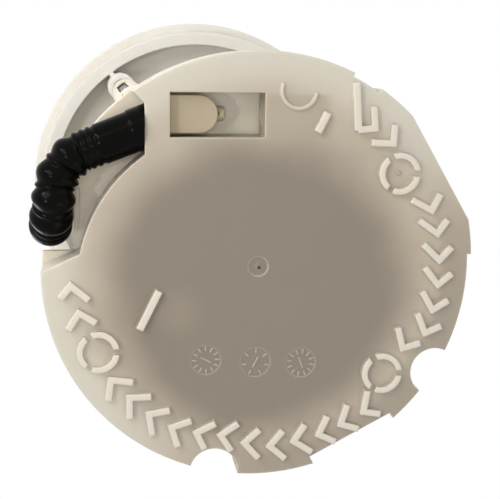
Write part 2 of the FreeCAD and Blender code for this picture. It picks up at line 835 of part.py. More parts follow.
def make_flange():
    """The round tank flange with its spigot, rod sockets, nipples, barbs and connector socket."""
    bottom = flange_low
    top = bottom + s.flange_thickness
    dome_top = top + s.dome_height
    plate = cylinder("flange_plate", s.flange_radius, bottom, top)
    dome = cone("flange_dome", s.dome_radius, s.dome_radius - s.dome_height, top, dome_top)
    spigot = tube("flange_spigot", s.spigot_radius, s.spigot_radius - s.spigot_wall, bottom - s.spigot_depth, bottom + 1)
    sockets = []
    socket_bores = []
    for i, (at, angle) in enumerate(zip(rod_points, rod_angles)):
        sockets.append(cylinder(f"rod_socket_{i}", s.rod_socket_radius, bottom - s.rod_socket_depth, bottom + 1, at))
        sockets.append(bar(
            f"socket_web_{i}", (0, 0), angle, (s.rod_circle, s.spigot_radius - 1), (-1, 1),
            (bottom - s.spigot_depth, bottom + 1),
        ))
        socket_bores.append(cylinder(
            f"rod_socket_bore_{i}", s.rod_radius + s.fit_gap / 2, bottom - s.rod_socket_depth - 1,
            bottom - s.rod_socket_depth + s.rod_seat, at,
        ))
    feed_at = (s.feed_right, -s.feed_up)
    pipes = []
    pipe_bores = []
    for name, at in (("return", riser_at), ("feed", feed_at)):
        nipple_top = top + s.nipple_height
        pipes.append(cylinder(name + "_barb", s.barb_radius, bottom - s.flange_barb_depth, bottom + 1, at))
        pipes.append(cylinder(name + "_nipple", s.nipple_radius, top - 1, nipple_top, at))
        bead_z = nipple_top - 7
        pipes.append(cylinder(name + "_bead", s.nipple_radius + s.nipple_bead, bead_z, bead_z + 1.2, at))
        pipe_bores.append(cylinder(
            name + "_bore", s.barb_bore, bottom - s.flange_barb_depth - 1, nipple_top + 1, at))
    half_length = s.connector_length / 2
    half_width = s.connector_width / 2
    connector = block(
        "connector", (-half_length, half_length), (s.connector_down - half_width, s.connector_down + half_width),
        (top, dome_top + s.connector_height),
    )
    inner_length = half_length - s.connector_wall
    inner_width = half_width - s.connector_wall
    cavity = block(
        "connector_cavity", (-inner_length, inner_length),
        (s.connector_down - inner_width, s.connector_down + inner_width),
        (dome_top + s.connector_wall, dome_top + s.connector_height + 1),
    )
    pin_slots = [
        pin_block(f"pin_slot_{i}", i, s.fit_gap / 2, bottom - s.pin_drop, dome_top + s.pin_rise + s.connector_wall)
        for i in range(4)
    ]
    solid = fuse("flange_solid", plate, dome, spigot, *sockets, *pipes, connector)
    whole = cut("flange_whole", solid, *socket_bores, *pipe_bores, cavity, *pin_slots)
    finish(whole, "tank_flange")
    pins = [
        pin_block(f"pin_{i}", i, 0, bottom - s.pin_drop, dome_top + s.pin_rise + s.connector_wall)
        for i in range(4)
    ]
    return finish(fuse("pins", *pins), "terminal_pins")


def pin_block(name, number, grow, bottom, top):
    """One blade of the connector, or the slot that holds it."""
    x = s.pin_spacing * (number - 1.5)
    half_width = s.pin_width / 2 + grow
    half_thickness = s.pin_thickness / 2 + grow
    return block(
        name, (x - half_width, x + half_width),
        (s.connector_down - half_thickness, s.connector_down + half_thickness), (bottom, top),
    )


def make_jet_pump():
    """The nozzle in the base's window, the mixing tube that lifts fuel into the cup, and the foot valve."""
    y, z = -s.jet_line, s.jet_height
    tip = -s.jet_nozzle_tip
    middle = -s.jet_body_left
    body_z = (s.jet_body_low, s.jet_body_high)
    spigot = along_x("nozzle_spigot", s.jet_seat_radius, (-s.window_left - 3.5, -s.window_left), y, z)
    body = block("nozzle_body", (-s.window_left, middle), (y - s.jet_body_radius, y + s.jet_body_radius), body_z)
    front = cylinder("nozzle_front", s.jet_body_radius, *body_z, (middle, y))
    taper = along_x("nozzle_taper", s.jet_nozzle_radius, (middle, tip), y, z, s.jet_bore + 0.8)
    bore = along_x("nozzle_bore", s.jet_bore, (-s.window_left - 4.5, tip + 1), y, z)
    finish(cut("nozzle", fuse("nozzle_solid", spigot, body, front, taper), bore), "jet_nozzle")

    elbow = s.mixing_elbow
    run = along_x("mixing_run", s.mixing_radius, (s.window_right, elbow), y, z)
    riser = cylinder("mixing_riser", s.mixing_radius, s.jet_height, s.mixing_top, (elbow, y))
    ball = doc.addObject("Part::Sphere", "mixing_ball")
    bind(ball, "Radius", s.mixing_radius)
    put(ball, elbow, y, z)
    run_bore = along_x("mixing_run_bore", s.mixing_bore, (s.window_right - 1, elbow), y, z)
    riser_bore = cylinder("mixing_riser_bore", s.mixing_bore, s.jet_height, s.mixing_top + 1, (elbow, y))
    finish(cut("mixing", fuse("mixing_solid", run, riser, ball), run_bore, riser_bore), "mixing_tube")

    stem = s.foot_valve_stem
    lip = shoulder_top + s.fit_gap
    profile_body("foot_valve", [
        (0, shoulder_bottom - 3), (stem, shoulder_bottom - 2.6), (stem + 0.9, shoulder_bottom - 0.2),
        (stem, shoulder_bottom - 0.2), (stem, lip + 0.6), (s.foot_valve_disc, lip),
        (s.foot_valve_disc, lip + 0.5), (stem + 1, lip + 1.8), (0, lip + 2.2),
    ], (-s.foot_valve_left, s.foot_valve_down))


def make_pump():
    """The electric pump: shell, turbine stage, motor and outlet end."""
    low = pump_low
    high = low + s.pump_length
    inner = s.shell_radius - s.shell_wall
    lip = s.shell_radius - s.shell_lip
    profile_body("pump_shell", [
        (lip, low), (s.shell_radius, low), (s.shell_radius, high), (lip, high),
        (lip, high - s.shell_wall), (inner, high - s.shell_wall),
        (inner, low + s.shell_wall), (lip, low + s.shell_wall),
    ])
    cover_low = low + s.shell_wall
    cover_high = cover_low + s.cover_thickness
    fitted = inner - s.fit_gap
    inlet_at = (0, 0)
    cover = fuse(
        "inlet_cover_solid",
        cylinder("inlet_cover_disc", fitted, cover_low, cover_high),
        cylinder("inlet_nipple", s.inlet_nipple_radius, low - s.inlet_nipple_length, cover_low + 1, inlet_at),
    )
    inlet_bore = cylinder("inlet_bore_cut", s.inlet_bore, low - s.inlet_nipple_length - 1, cover_low + 3, inlet_at)
    inlet_port = bar("inlet_port", (0, 0), 0, (0, s.impeller_radius - 3), (-2, 2), (cover_low + 2, cover_low + 4))
    inlet_rise = cylinder("inlet_rise", 2.0, cover_low + 2, cover_high + 1, (s.impeller_radius - 3, 0))
    shaft_low = cover_high - s.shaft_pocket_depth
    shaft_pocket = cylinder(
        "shaft_pocket", s.shaft_radius + s.running_gap, shaft_low - s.moving_gap, cover_high + 1)
    finish(cut("inlet_cover", cover, inlet_bore, inlet_port, inlet_rise, shaft_pocket), "pump_inlet_cover")

    impeller_low = cover_high + s.impeller_gap
    impeller_high = impeller_low + s.impeller_thickness
    stage_low = impeller_high + s.impeller_gap
    stage_high = stage_low + s.stage_thickness
    shaft_hole = s.shaft_radius + s.running_gap
    stage = fuse(
        "stage_solid",
        cylinder("stage_disc", fitted, stage_low, stage_high),
        tube("stage_ring", fitted, s.impeller_radius + s.moving_gap, cover_high, stage_low + 1),
    )
    stage_cuts = [
        cylinder("stage_bearing_hole", s.bearing_radius + s.fit_gap, stage_low - 1, stage_high + 1),
        cylinder("stage_port", 2.0, stage_low - 1, stage_high + 1, (-s.impeller_radius + 3, 0)),
    ]
    finish(cut("stage", stage, *stage_cuts), "pump_stage_plate")
    profile_body("lower_bearing", [
        (shaft_hole, stage_low), (s.bearing_radius, stage_low),
        (s.bearing_radius, stage_low + s.bearing_length), (shaft_hole, stage_low + s.bearing_length),
    ])

    wheel = cylinder("impeller_disc", s.impeller_radius, impeller_low, impeller_high)
    vanes = int(SIZES["impeller_vanes"])
    pockets = [
        bar(
            f"impeller_pocket_{i}", (0, 0), 360.0 / vanes * i,
            (s.impeller_radius - 3, s.impeller_radius + 1), (-1, 1), (impeller_low - 1, impeller_high + 1),
        )
        for i in range(vanes)
    ]
    wheel_bore = cylinder("impeller_bore", s.shaft_radius + s.fit_gap / 2, impeller_low - 1, impeller_high + 1)
    finish(cut("impeller_whole", wheel, wheel_bore, *pockets), "impeller")

    core_low = low + (s.pump_length - s.armature_length) / 2 + 2
    core_high = core_low + s.armature_length
    magnet_low = core_low - (s.magnet_length - s.armature_length) / 2
    magnet_high = magnet_low + s.magnet_length
    arcs = []
    for i in range(2):
        start = 180.0 * i - s.magnet_span / 2
        outside = cylinder(f"magnet_out_{i}", fitted, magnet_low, magnet_high, span=s.magnet_span, turn=start)
        inside = cylinder(f"magnet_in_{i}", fitted - s.magnet_thickness, magnet_low, magnet_high)
        arcs.append(cut(f"magnet_{i}", outside, inside))
    finish(fuse("magnets", *arcs), "field_magnets")

    core = cylinder("core_disc", s.armature_radius, core_low, core_high)
    core_bore = cylinder("core_bore", s.shaft_radius + s.fit_gap / 2, core_low - 1, core_high + 1)
    slots = int(SIZES["armature_slots"])
    core_slots = [
        bar(
            f"core_slot_{i}", (0, 0), 360.0 / slots * (i + 0.5),
            (s.armature_radius - 5, s.armature_radius + 1), (-1.2, 1.2), (core_low - 1, core_high + 1),
        )
        for i in range(slots)
    ]
    finish(cut("core_whole", core, core_bore, *core_slots), "armature_core")
    coil_bore = s.shaft_radius + 1.5
    coils = [
        tube("winding_low", s.winding_radius, coil_bore, core_low - s.winding_length, core_low),
        tube("winding_high", s.winding_radius, coil_bore, core_high, core_high + s.winding_length),
    ]
    finish(fuse("windings", *coils), "armature_windings")

    comm_low = core_high + s.winding_length + 0.5
    comm_high = comm_low + s.commutator_length
    commutator_bore = s.shaft_radius + s.fit_gap / 2
    profile_body("commutator", [
        (commutator_bore, comm_low), (s.commutator_radius, comm_low),
        (s.commutator_radius, comm_high), (commutator_bore, comm_high),
    ])

    cap_low = high - s.shell_wall - s.end_cap_depth
    cap_high = high + s.end_cap_rise
    bearing_high = cap_low + s.bearing_length
    profile_body("motor_shaft", [
        (0, shaft_low), (s.shaft_radius, shaft_low), (s.shaft_radius, bearing_high - 0.5), (0, bearing_high - 0.5),
    ])
    profile_body("upper_bearing", [
        (shaft_hole, cap_low), (s.bearing_radius, cap_low),
        (s.bearing_radius, bearing_high), (shaft_hole, bearing_high),
    ])

    brush_z = (comm_low + 1, comm_low + 1 + s.brush_width)
    half_brush = s.brush_width / 2
    brush_in = s.commutator_radius + s.moving_gap
    brush_out = brush_in + s.brush_length
    spring_out = brush_out + s.brush_spring_length
    outlet_at = (-s.outlet_left, 0)
    outlet_top = cap_high + s.outlet_height
    seat = cap_high + s.outlet_seat_height
    cap_solid = [
        cylinder("end_cap_low", fitted, cap_low, high - s.shell_wall),
        cylinder("end_cap_high", s.end_cap_radius, high - s.shell_wall - 1, cap_high),
        cylinder("outlet", s.outlet_radius, cap_high - 1, outlet_top, outlet_at),
        cylinder("outlet_bead", s.outlet_radius + 0.5, outlet_top - 4, outlet_top - 3, outlet_at),
    ]
    cap_cuts = [
        cylinder("upper_bearing_hole", s.bearing_radius + s.fit_gap, cap_low - 1, bearing_high + s.fit_gap),
        cylinder("outlet_seat_hole", s.outlet_seat_bore, cap_low - 1, outlet_top, outlet_at),
        cylinder("outlet_bore_cut", s.outlet_bore, seat, outlet_top + 1, outlet_at),
    ]
    brushes = []
    springs = []
    terminals = []
    for i, side in enumerate((1, -1)):
        holder = bar(
            f"brush_holder_{i}", (0, 0), 90 * side, (brush_in + 1, spring_out + 0.6),
            (-half_brush - 1, half_brush + 1), (brush_z[0] - 0.9, cap_low + 0.5),
        )
        pocket = bar(
            f"brush_pocket_{i}", (0, 0), 90 * side, (brush_in, spring_out),
            (-half_brush - s.fit_gap, half_brush + s.fit_gap),
            (brush_z[0] - s.fit_gap, brush_z[1] + s.fit_gap),
        )
        cap_solid.append(holder)
        cap_cuts.append(pocket)
        brushes.append(bar(f"brush_{i}", (0, 0), 90 * side, (brush_in, brush_out), (-half_brush, half_brush), brush_z))
        spring = cut(
            f"brush_spring_{i}",
            cylinder(f"brush_spring_out_{i}", half_brush - 0.6, 0, s.brush_spring_length - 0.1),
            cylinder(f"brush_spring_in_{i}", half_brush - 1.3, 0, s.brush_spring_length - 0.1),
        )
        middle = (brush_z[0] + brush_z[1]) / 2
        put(spring, 0, as_size(side) * (brush_out + 0.05), middle)
        lying(spring, (0, side, 0))
        springs.append(spring)
        x = (s.terminal_right - s.terminal_thickness / 2, s.terminal_right + s.terminal_thickness / 2)
        y_mid = as_size(side) * s.terminal_spread
        y = (y_mid - s.terminal_width / 2, y_mid + s.terminal_width / 2)
        z = (cap_high - 2, cap_high + s.terminal_rise)
        terminals.append(block(f"terminal_{i}", x, y, z))
        grown = s.fit_gap / 2
        cap_cuts.append(block(f"terminal_slot_{i}", (x[0] - grown, x[1] + grown), (y[0] - grown, y[1] + grown), z))
    finish(cut("end_cap", fuse("end_cap_solid", *cap_solid), *cap_cuts), "pump_end_cap")
    finish(fuse("brushes", *brushes), "carbon_brushes")
    finish(fuse("brush_springs_pair", *springs), "brush_springs")
    finish(fuse("terminals", *terminals), "pump_terminals")
    make_check_valve(outlet_at, seat, outlet_top)


def make_check_valve(at, seat, outlet_top):
    """The poppet on its seat in the outlet, its spring and the retainer ring."""
    radius = s.outlet_bore - s.moving_gap
    low = seat + s.fit_gap
    high = low + s.poppet_thickness
    profile_body("valve_poppet", [
        (0, low - 2), (s.outlet_seat_bore - s.moving_gap, low - 1), (s.outlet_seat_bore - s.moving_gap, low),
        (radius, low), (radius, high), (0, high),
    ], at)
    ring_low = outlet_top - s.retainer_thickness - 0.5
    profile_body("valve_retainer", [
        (1.4, ring_low), (s.outlet_bore - 0.05, ring_low),
        (s.outlet_bore - 0.05, outlet_top - 0.5), (1.4, outlet_top - 0.5),
    ], at)
    make_spring("valve_spring", radius - 0.6, 0.5, high + s.fit_gap, ring_low - s.fit_gap, 4, at)


def make_mountings():
    """Rubber isolators at both ends of the pump, and the strainer on its inlet."""
    pad_low = shoulder_top + s.socket_ledge_height
    rim = s.shell_radius + s.isolator_wall
    bore = s.shell_radius + s.fit_gap / 2
    socket_top = shoulder_top + s.socket_height
    profile_body("lower_isolator", [
        (s.isolator_bore, pad_low), (rim, pad_low), (rim, socket_top),
        (bore, socket_top), (bore, pump_low), (s.isolator_bore, pump_low),
    ])
    collar_bottom = cup_top - s.lid_collar_drop
    profile_body("upper_isolator", [
        (bore, collar_bottom), (rim, collar_bottom),
        (rim, collar_bottom + s.upper_isolator_height), (bore, collar_bottom + s.upper_isolator_height),
    ])
    low = shoulder_top + s.strainer_lift
    high = low + s.strainer_thickness
    edge = 1.5
    bore = s.inlet_nipple_radius + s.fit_gap / 2
    profile_body("inlet_strainer", [
        (0, low), (s.strainer_radius - edge, low), (s.strainer_radius, low + edge),
        (s.strainer_radius, high - edge), (s.strainer_radius - edge, high), (bore, high), (bore, high - 1), (0, high - 1),
    ])
    collar_top = pump_low + s.shell_wall - 0.2
    profile_body("strainer_collar", [
        (bore, high), (s.strainer_collar_radius, high), (s.strainer_collar_radius, high + 1.5),
        (s.inlet_nipple_radius + 1.5, high + 1.5), (s.inlet_nipple_radius + 1.5, collar_top), (bore, collar_top),
    ])


def radial(obj, distance, angle, height):
    """Lay a piece along the radius at an angle, starting at a distance from the axis."""
    at = polar(distance, angle)
    put(obj, at[0], at[1], height)
    heading = math.radians(as_size(angle).value)
    return lying(obj, (math.cos(heading), math.sin(heading), 0))


def make_sender():
    """The level sender on the side of the cup, with its card, arm and float."""
    angle = s.sender_angle
    half = s.sender_width / 2 - 1
    back = s.cup_radius + s.sender_pad_depth + s.fit_gap / 2
    front = back + s.sender_thickness
    housing_z = (s.sender_bottom, s.sender_bottom + s.sender_height)
    housing = bar("housing_plate", (0, 0), angle, (back, front), (-half, half), housing_z)
    boss_top = front + s.pivot_boss_length
    hub_low = boss_top + s.moving_gap
    hub_high = hub_low + s.hub_length
    boss = radial(cylinder("pivot_boss", s.pivot_boss_radius, 0, s.pivot_boss_length + 1), front - 1, angle, s.pivot_height)
    pin = radial(cylinder("pivot_pin", s.pivot_radius, 0, hub_high - front + 1.8), front - 1, angle, s.pivot_height)
    head = radial(cylinder("pivot_head", s.pivot_radius + 0.8, 0, 0.8), hub_high + s.moving_gap, angle, s.pivot_height)
    card_low = s.pivot_height + s.pivot_boss_radius + 0.8
    tray = bar(
        "card_tray", (0, 0), angle, (front - 1, front + 1), (-s.card_width / 2, s.card_width / 2),
        (card_low - 0.2, card_low + s.card_height + 0.2),
    )
    finish(cut("housing", fuse("housing_solid", housing, boss, pin, head), tray), "sender_housing")
    half_card = s.card_width / 2 - s.fit_gap
    finish(bar(
        "card", (0, 0), angle, (front - 1, front - 1 + s.card_thickness), (-half_card, half_card),
        (card_low, card_low + s.card_height),
    ), "sender_card")

    hub_bore = radial(
        cylinder("hub_bore", s.pivot_radius + s.running_gap, 0, s.hub_length + 2), hub_low - 1, angle, s.pivot_height)
    hub = radial(cylinder("hub_disc", s.hub_radius, 0, s.hub_length), hub_low, angle, s.pivot_height)
    arm_line = hub_low + s.hub_length / 2
    start = s.hub_radius - 2.5
    arm_hole = leaning_rod("arm_hole", s.arm_radius + s.fit_gap / 2, start, s.hub_radius + 1, arm_line)
    finish(cut("hub", hub, hub_bore, arm_hole), "arm_hub")
    finish(leaning_rod("arm", s.arm_radius, start, s.arm_length, arm_line), "float_arm")

    float_block = doc.addObject("Part::Box", "float_block")
    bind(float_block, "Length", s.float_thickness)
    bind(float_block, "Width", s.float_width)
    bind(float_block, "Height", s.float_length)
    doc.recompute()
    rounded = doc.addObject("Part::Fillet", "float_rounded")
    rounded.Base = float_block
    rounded.Edges = [(i + 1, s.float_rounding.value, s.float_rounding.value) for i in range(12)]
    bore = cylinder("float_bore", s.arm_radius + s.fit_gap / 2, -1, s.float_length - 3)
    put(bore, s.float_thickness / 2 + s.float_shift, s.float_width / 2, -1)
    body = cut("float_whole", rounded, bore)
    body.Placement = leaning_frame(
        s.arm_length.value + 4 - s.float_length.value, arm_line.value,
        -s.float_thickness.value / 2 - s.float_shift.value, -s.float_width.value / 2,
    )
    finish(body, "sender_float")

    strip_low = hub_low - s.wiper_thickness
    card_face = front - 1 + s.card_thickness
    strip = wiper_piece("wiper_strip", strip_low, hub_low, s.pivot_boss_radius + s.moving_gap, s.wiper_reach)
    tip = wiper_piece("wiper_tip", card_face + s.moving_gap, hub_low, s.wiper_reach - s.wiper_width, s.wiper_reach)
    finish(fuse("wiper", strip, tip), "wiper_contact")


def wiper_piece(name, low, high, start, end):
    """A block of the wiper between two radii from the axis and two distances from the pivot."""
    piece = doc.addObject("Part::Box", name)
    bind(piece, "Length", high - low)
    bind(piece, "Width", s.wiper_width)
    bind(piece, "Height", end - start)
    rise = s.arm_rise_angle.value + s.wiper_lead.value
    piece.Placement = leaning_frame(start.value, low.value, 0, -s.wiper_width.value / 2, rise)
    return piece


def leaning_frame(reach, radius, along, across, rise=SIZES["arm_rise_angle"]):
    """A frame that leans with the raised arm: X out along the radius, Z away from the pivot."""
    turn_out = FreeCAD.Rotation(FreeCAD.Vector(0, 0, 1), s.sender_angle.value)
    lean = FreeCAD.Rotation(FreeCAD.Vector(1, 0, 0), 90 - rise)
    pivot = turn_out.multVec(FreeCAD.Vector(radius, 0, 0)) + FreeCAD.Vector(0, 0, s.pivot_height.value)
    rotation = turn_out.multiply(lean)
    corner = rotation.multVec(FreeCAD.Vector(along, across, reach))
    return FreeCAD.Placement(pivot + corner, rotation)


def leaning_rod(name, radius, start, end, radial_place):
    """A round rod along the raised arm."""
    rod = doc.addObject("Part::Cylinder", name)
    bind(rod, "Radius", radius)
    bind(rod, "Height", as_size(end) - start)
    rod.Placement = leaning_frame(as_size(start).value, radial_place.value, 0, 0)
    return rod


def bend(before, corner, after, radius):
    """The two ends and the middle of the arc that rounds a corner of the hose's route."""
    back = (before - corner).normalize()
    ahead = (after - corner).normalize()
    half_turn = (math.pi - back.getAngle(ahead)) / 2
    reach = radius * math.tan(half_turn)
    inward = (back + ahead).normalize()
    middle = corner + inward * (radius / math.cos(half_turn) - radius)
    return corner + back * reach, middle, corner + ahead * reach


def make_hose():
    """The return hose: straight runs joined by tangent arcs, its lower end cut level with the port's wall."""
    top = flange_low.value - s.spigot_depth.value - 3
    heading = port_heading()
    wall = -s.channel_wall_offset.value - s.fit_gap.value
    radius = s.hose_radius.value
    behind = radius
    port = port_point(-behind)
    corner = FreeCAD.Vector(-s.hose_corner_left.value, -s.hose_corner_up.value, s.port_height.value)
    riser = FreeCAD.Vector(-s.hose_riser_left.value, -s.hose_riser_up.value, s.port_height.value)
    end = FreeCAD.Vector(riser.x, riser.y, top)
    first = bend(port, corner, riser, s.hose_corner_bend.value)
    second = bend(corner, riser, end, s.hose_riser_bend.value)
    edges = [
        Part.LineSegment(port, first[0]),
        Part.Arc(*first),
        Part.LineSegment(first[2], second[0]),
        Part.Arc(*second),
        Part.LineSegment(second[2], end),
    ]
    route = Part.Wire([edge.toShape() for edge in edges])
    shapes = []
    for rounding in (radius, s.hose_bore.value):
        circle = Part.Wire(Part.Circle(port, heading, rounding).toShape())
        shapes.append(route.makePipeShell([circle], True, False))
    side = 4 * radius
    beyond = Part.makeBox(side, 2 * side, side, FreeCAD.Vector(wall, port.y - side, -radius))
    solid = shapes[0].cut(shapes[1]).cut(beyond)
    length = route.Length - behind - s.fit_gap.value / abs(heading.x)
    expected = math.pi * (radius ** 2 - s.hose_bore.value ** 2) * length
    print("return_hose length %.1f, bends %.1f and %.1f, volume ratio %.4f" % (
        length, s.hose_corner_bend.value, s.hose_riser_bend.value, solid.Volume / expected))
    hose = doc.addObject("Part::Feature", "hose")
    hose.Shape = solid
    return finish(hose, "return_hose")


def write_parts():
    """Check every object and write each finished sub-part."""
    doc.recompute()
    faults = [obj.Name for obj in doc.Objects if "Invalid" in obj.State or "Error" in obj.State]
    if faults:
        raise RuntimeError("objects that failed: " + ", ".join(faults))
    unsound = [obj.Label for obj in finished if obj.Shape.isNull() or not obj.Shape.isValid() or not obj.Shape.Solids]
    if unsound:
        raise RuntimeError("sub-parts with no sound solid: " + ", ".join(unsound))
    os.makedirs("parts", exist_ok=True)
    for obj in finished:
        obj.Shape.exportStep(os.path.join("parts", obj.Label + ".step"))
    print(len(finished), "sub-parts written")


make_base()
make_cup()
make_lid()
make_guides()
make_flange()
make_jet_pump()
make_pump()
make_mountings()
make_sender()
make_hose()
write_parts()
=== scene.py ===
"""Looks of an in-tank fuel pump module: ivory moulded base seen from below, tank flange behind it.

Lengths are metres in the part's own frame, with +Z up to the tank flange.
"""

import json
import logging
import math
from dataclasses import dataclass, field
from enum import Enum
from typing import Callable, Sequence

import bmesh
import bpy
from mathutils import Matrix, Vector


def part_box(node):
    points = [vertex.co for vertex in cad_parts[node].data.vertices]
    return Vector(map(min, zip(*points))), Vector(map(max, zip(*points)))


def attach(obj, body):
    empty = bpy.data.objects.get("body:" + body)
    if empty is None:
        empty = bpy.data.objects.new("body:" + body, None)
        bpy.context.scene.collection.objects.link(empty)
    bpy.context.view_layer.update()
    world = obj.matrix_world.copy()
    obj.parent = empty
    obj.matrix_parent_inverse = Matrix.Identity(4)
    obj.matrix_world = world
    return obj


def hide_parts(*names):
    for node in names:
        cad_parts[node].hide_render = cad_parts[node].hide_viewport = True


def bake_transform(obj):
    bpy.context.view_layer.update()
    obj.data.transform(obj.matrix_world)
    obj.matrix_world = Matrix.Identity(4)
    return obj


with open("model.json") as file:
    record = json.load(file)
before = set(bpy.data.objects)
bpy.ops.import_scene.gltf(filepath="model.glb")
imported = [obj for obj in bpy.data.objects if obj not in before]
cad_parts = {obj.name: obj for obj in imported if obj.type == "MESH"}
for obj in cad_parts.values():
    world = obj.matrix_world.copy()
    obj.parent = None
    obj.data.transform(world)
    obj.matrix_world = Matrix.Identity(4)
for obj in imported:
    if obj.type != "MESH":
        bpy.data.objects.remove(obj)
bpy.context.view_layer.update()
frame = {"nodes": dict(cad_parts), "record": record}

MM = 0.001
TURN = 2.0 * math.pi
LOG = logging.getLogger("fuel_pump_module")

Colour = tuple[float, float, float]


def tone(red: int, green: int, blue: int) -> Colour:
    """Turn a display colour into the linear colour that a shader takes.

    Args:
        red: Red from 0 to 255.
        green: Green from 0 to 255.
        blue: Blue from 0 to 255.

    Returns:
        The linear red, green and blue.
    """
    return tuple(
        c / 12.92 if c <= 0.04045 else ((c + 0.055) / 1.055) ** 2.4
        for c in (red / 255.0, green / 255.0, blue / 255.0)
    )


class Body(Enum):
    """The rigid bodies that pieces ride on."""

    FLANGE = "flange"
    RESERVOIR = "reservoir"
    ARMATURE = "armature"
    CHECK_VALVE = "check_valve"
    SENDER_ARM = "sender_arm"


class Effect(Enum):
    """The shader effects that several finishes share."""

    FLOW = "mould_flow"
    EDGES = "rounded_edges"
    TURNING = "turning_marks"
    WEAVE = "filter_weave"
    PORES = "foam_pores"


class Tree:
    """Adds nodes to one node tree and joins their sockets."""

    def __init__(self, tree: bpy.types.NodeTree) -> None:
        """Keep the tree that the nodes go into."""
        self.tree = tree

    def node(self, kind: str, **settings: object) -> bpy.types.Node:
        """Add a node and set its options.

        Args:
            kind: Blender's name of the node type.
            **settings: Options to set on the node.

        Returns:
            The new node.
        """
        node = self.tree.nodes.new(kind)
        for name, value in settings.items():
            setattr(node, name, value)
        return node

    def feed(self, value: object, socket: bpy.types.NodeSocket) -> None:
        """Join a socket to another, or set its plain value."""
        if isinstance(value, bpy.types.NodeSocket):
            self.tree.links.new(value, socket)
        elif isinstance(value, tuple) and socket.type == "RGBA":
            socket.default_value = (*value, 1.0)
        else:
            socket.default_value = value

    def math(self, operation: str, *values: object) -> bpy.types.NodeSocket:
        """Add a Math node.

        Args:
            operation: The node's operation.
            *values: Its inputs, as sockets or numbers.

        Returns:
            The result's socket.
        """
        node = self.node("ShaderNodeMath", operation=operation)
        for socket, value in zip(node.inputs, values):
            self.feed(value, socket)
        return node.outputs[0]

    def ramp(self, value: object, low: float, high: float, to_low: float = 0.0,
             to_high: float = 1.0) -> bpy.types.NodeSocket:
        """Map a value smoothly from one range to another.

        Args:
            value: The socket to map.
            low: Value that gives to_low.
            high: Value that gives to_high.
            to_low: Result at the low end.
            to_high: Result at the high end.

        Returns:
            The result's socket.
        """
        node = self.node("ShaderNodeMapRange", interpolation_type="SMOOTHSTEP")
        for socket, entry in zip(node.inputs, (value, low, high, to_low, to_high)):
            self.feed(entry, socket)
        return node.outputs[0]

    def mix(self, factor: object, first: object, second: object) -> bpy.types.NodeSocket:
        """Mix two colours.

        Args:
            factor: How much of the second colour shows.
            first: Colour at factor 0.
            second: Colour at factor 1.

        Returns:
            The mixed colour's socket.
        """
        node = self.node("ShaderNodeMix", data_type="RGBA")
        self.feed(factor, node.inputs["Factor"])
        self.feed(first, node.inputs[6])
        self.feed(second, node.inputs[7])
        return node.outputs[2]

    def place(self) -> bpy.types.NodeSocket:
        """Give the socket of the piece's own coordinates."""
        return self.node("ShaderNodeTexCoord").outputs["Object"]

    def noise(self, scale: object, detail: float, vector: object = None) -> bpy.types.NodeSocket:
        """Add a noise texture on the piece's own coordinates.

        Args:
            scale: Cells in a metre.
            detail: Levels of finer noise.
            vector: Coordinates to use instead of the piece's own.

        Returns:
            The socket of the noise from 0 to 1.
        """
        node = self.node("ShaderNodeTexNoise")
        self.feed(self.place() if vector is None else vector, node.inputs["Vector"])
        self.feed(scale, node.inputs["Scale"])
        node.inputs["Detail"].default_value = detail
        return node.outputs["Fac"]


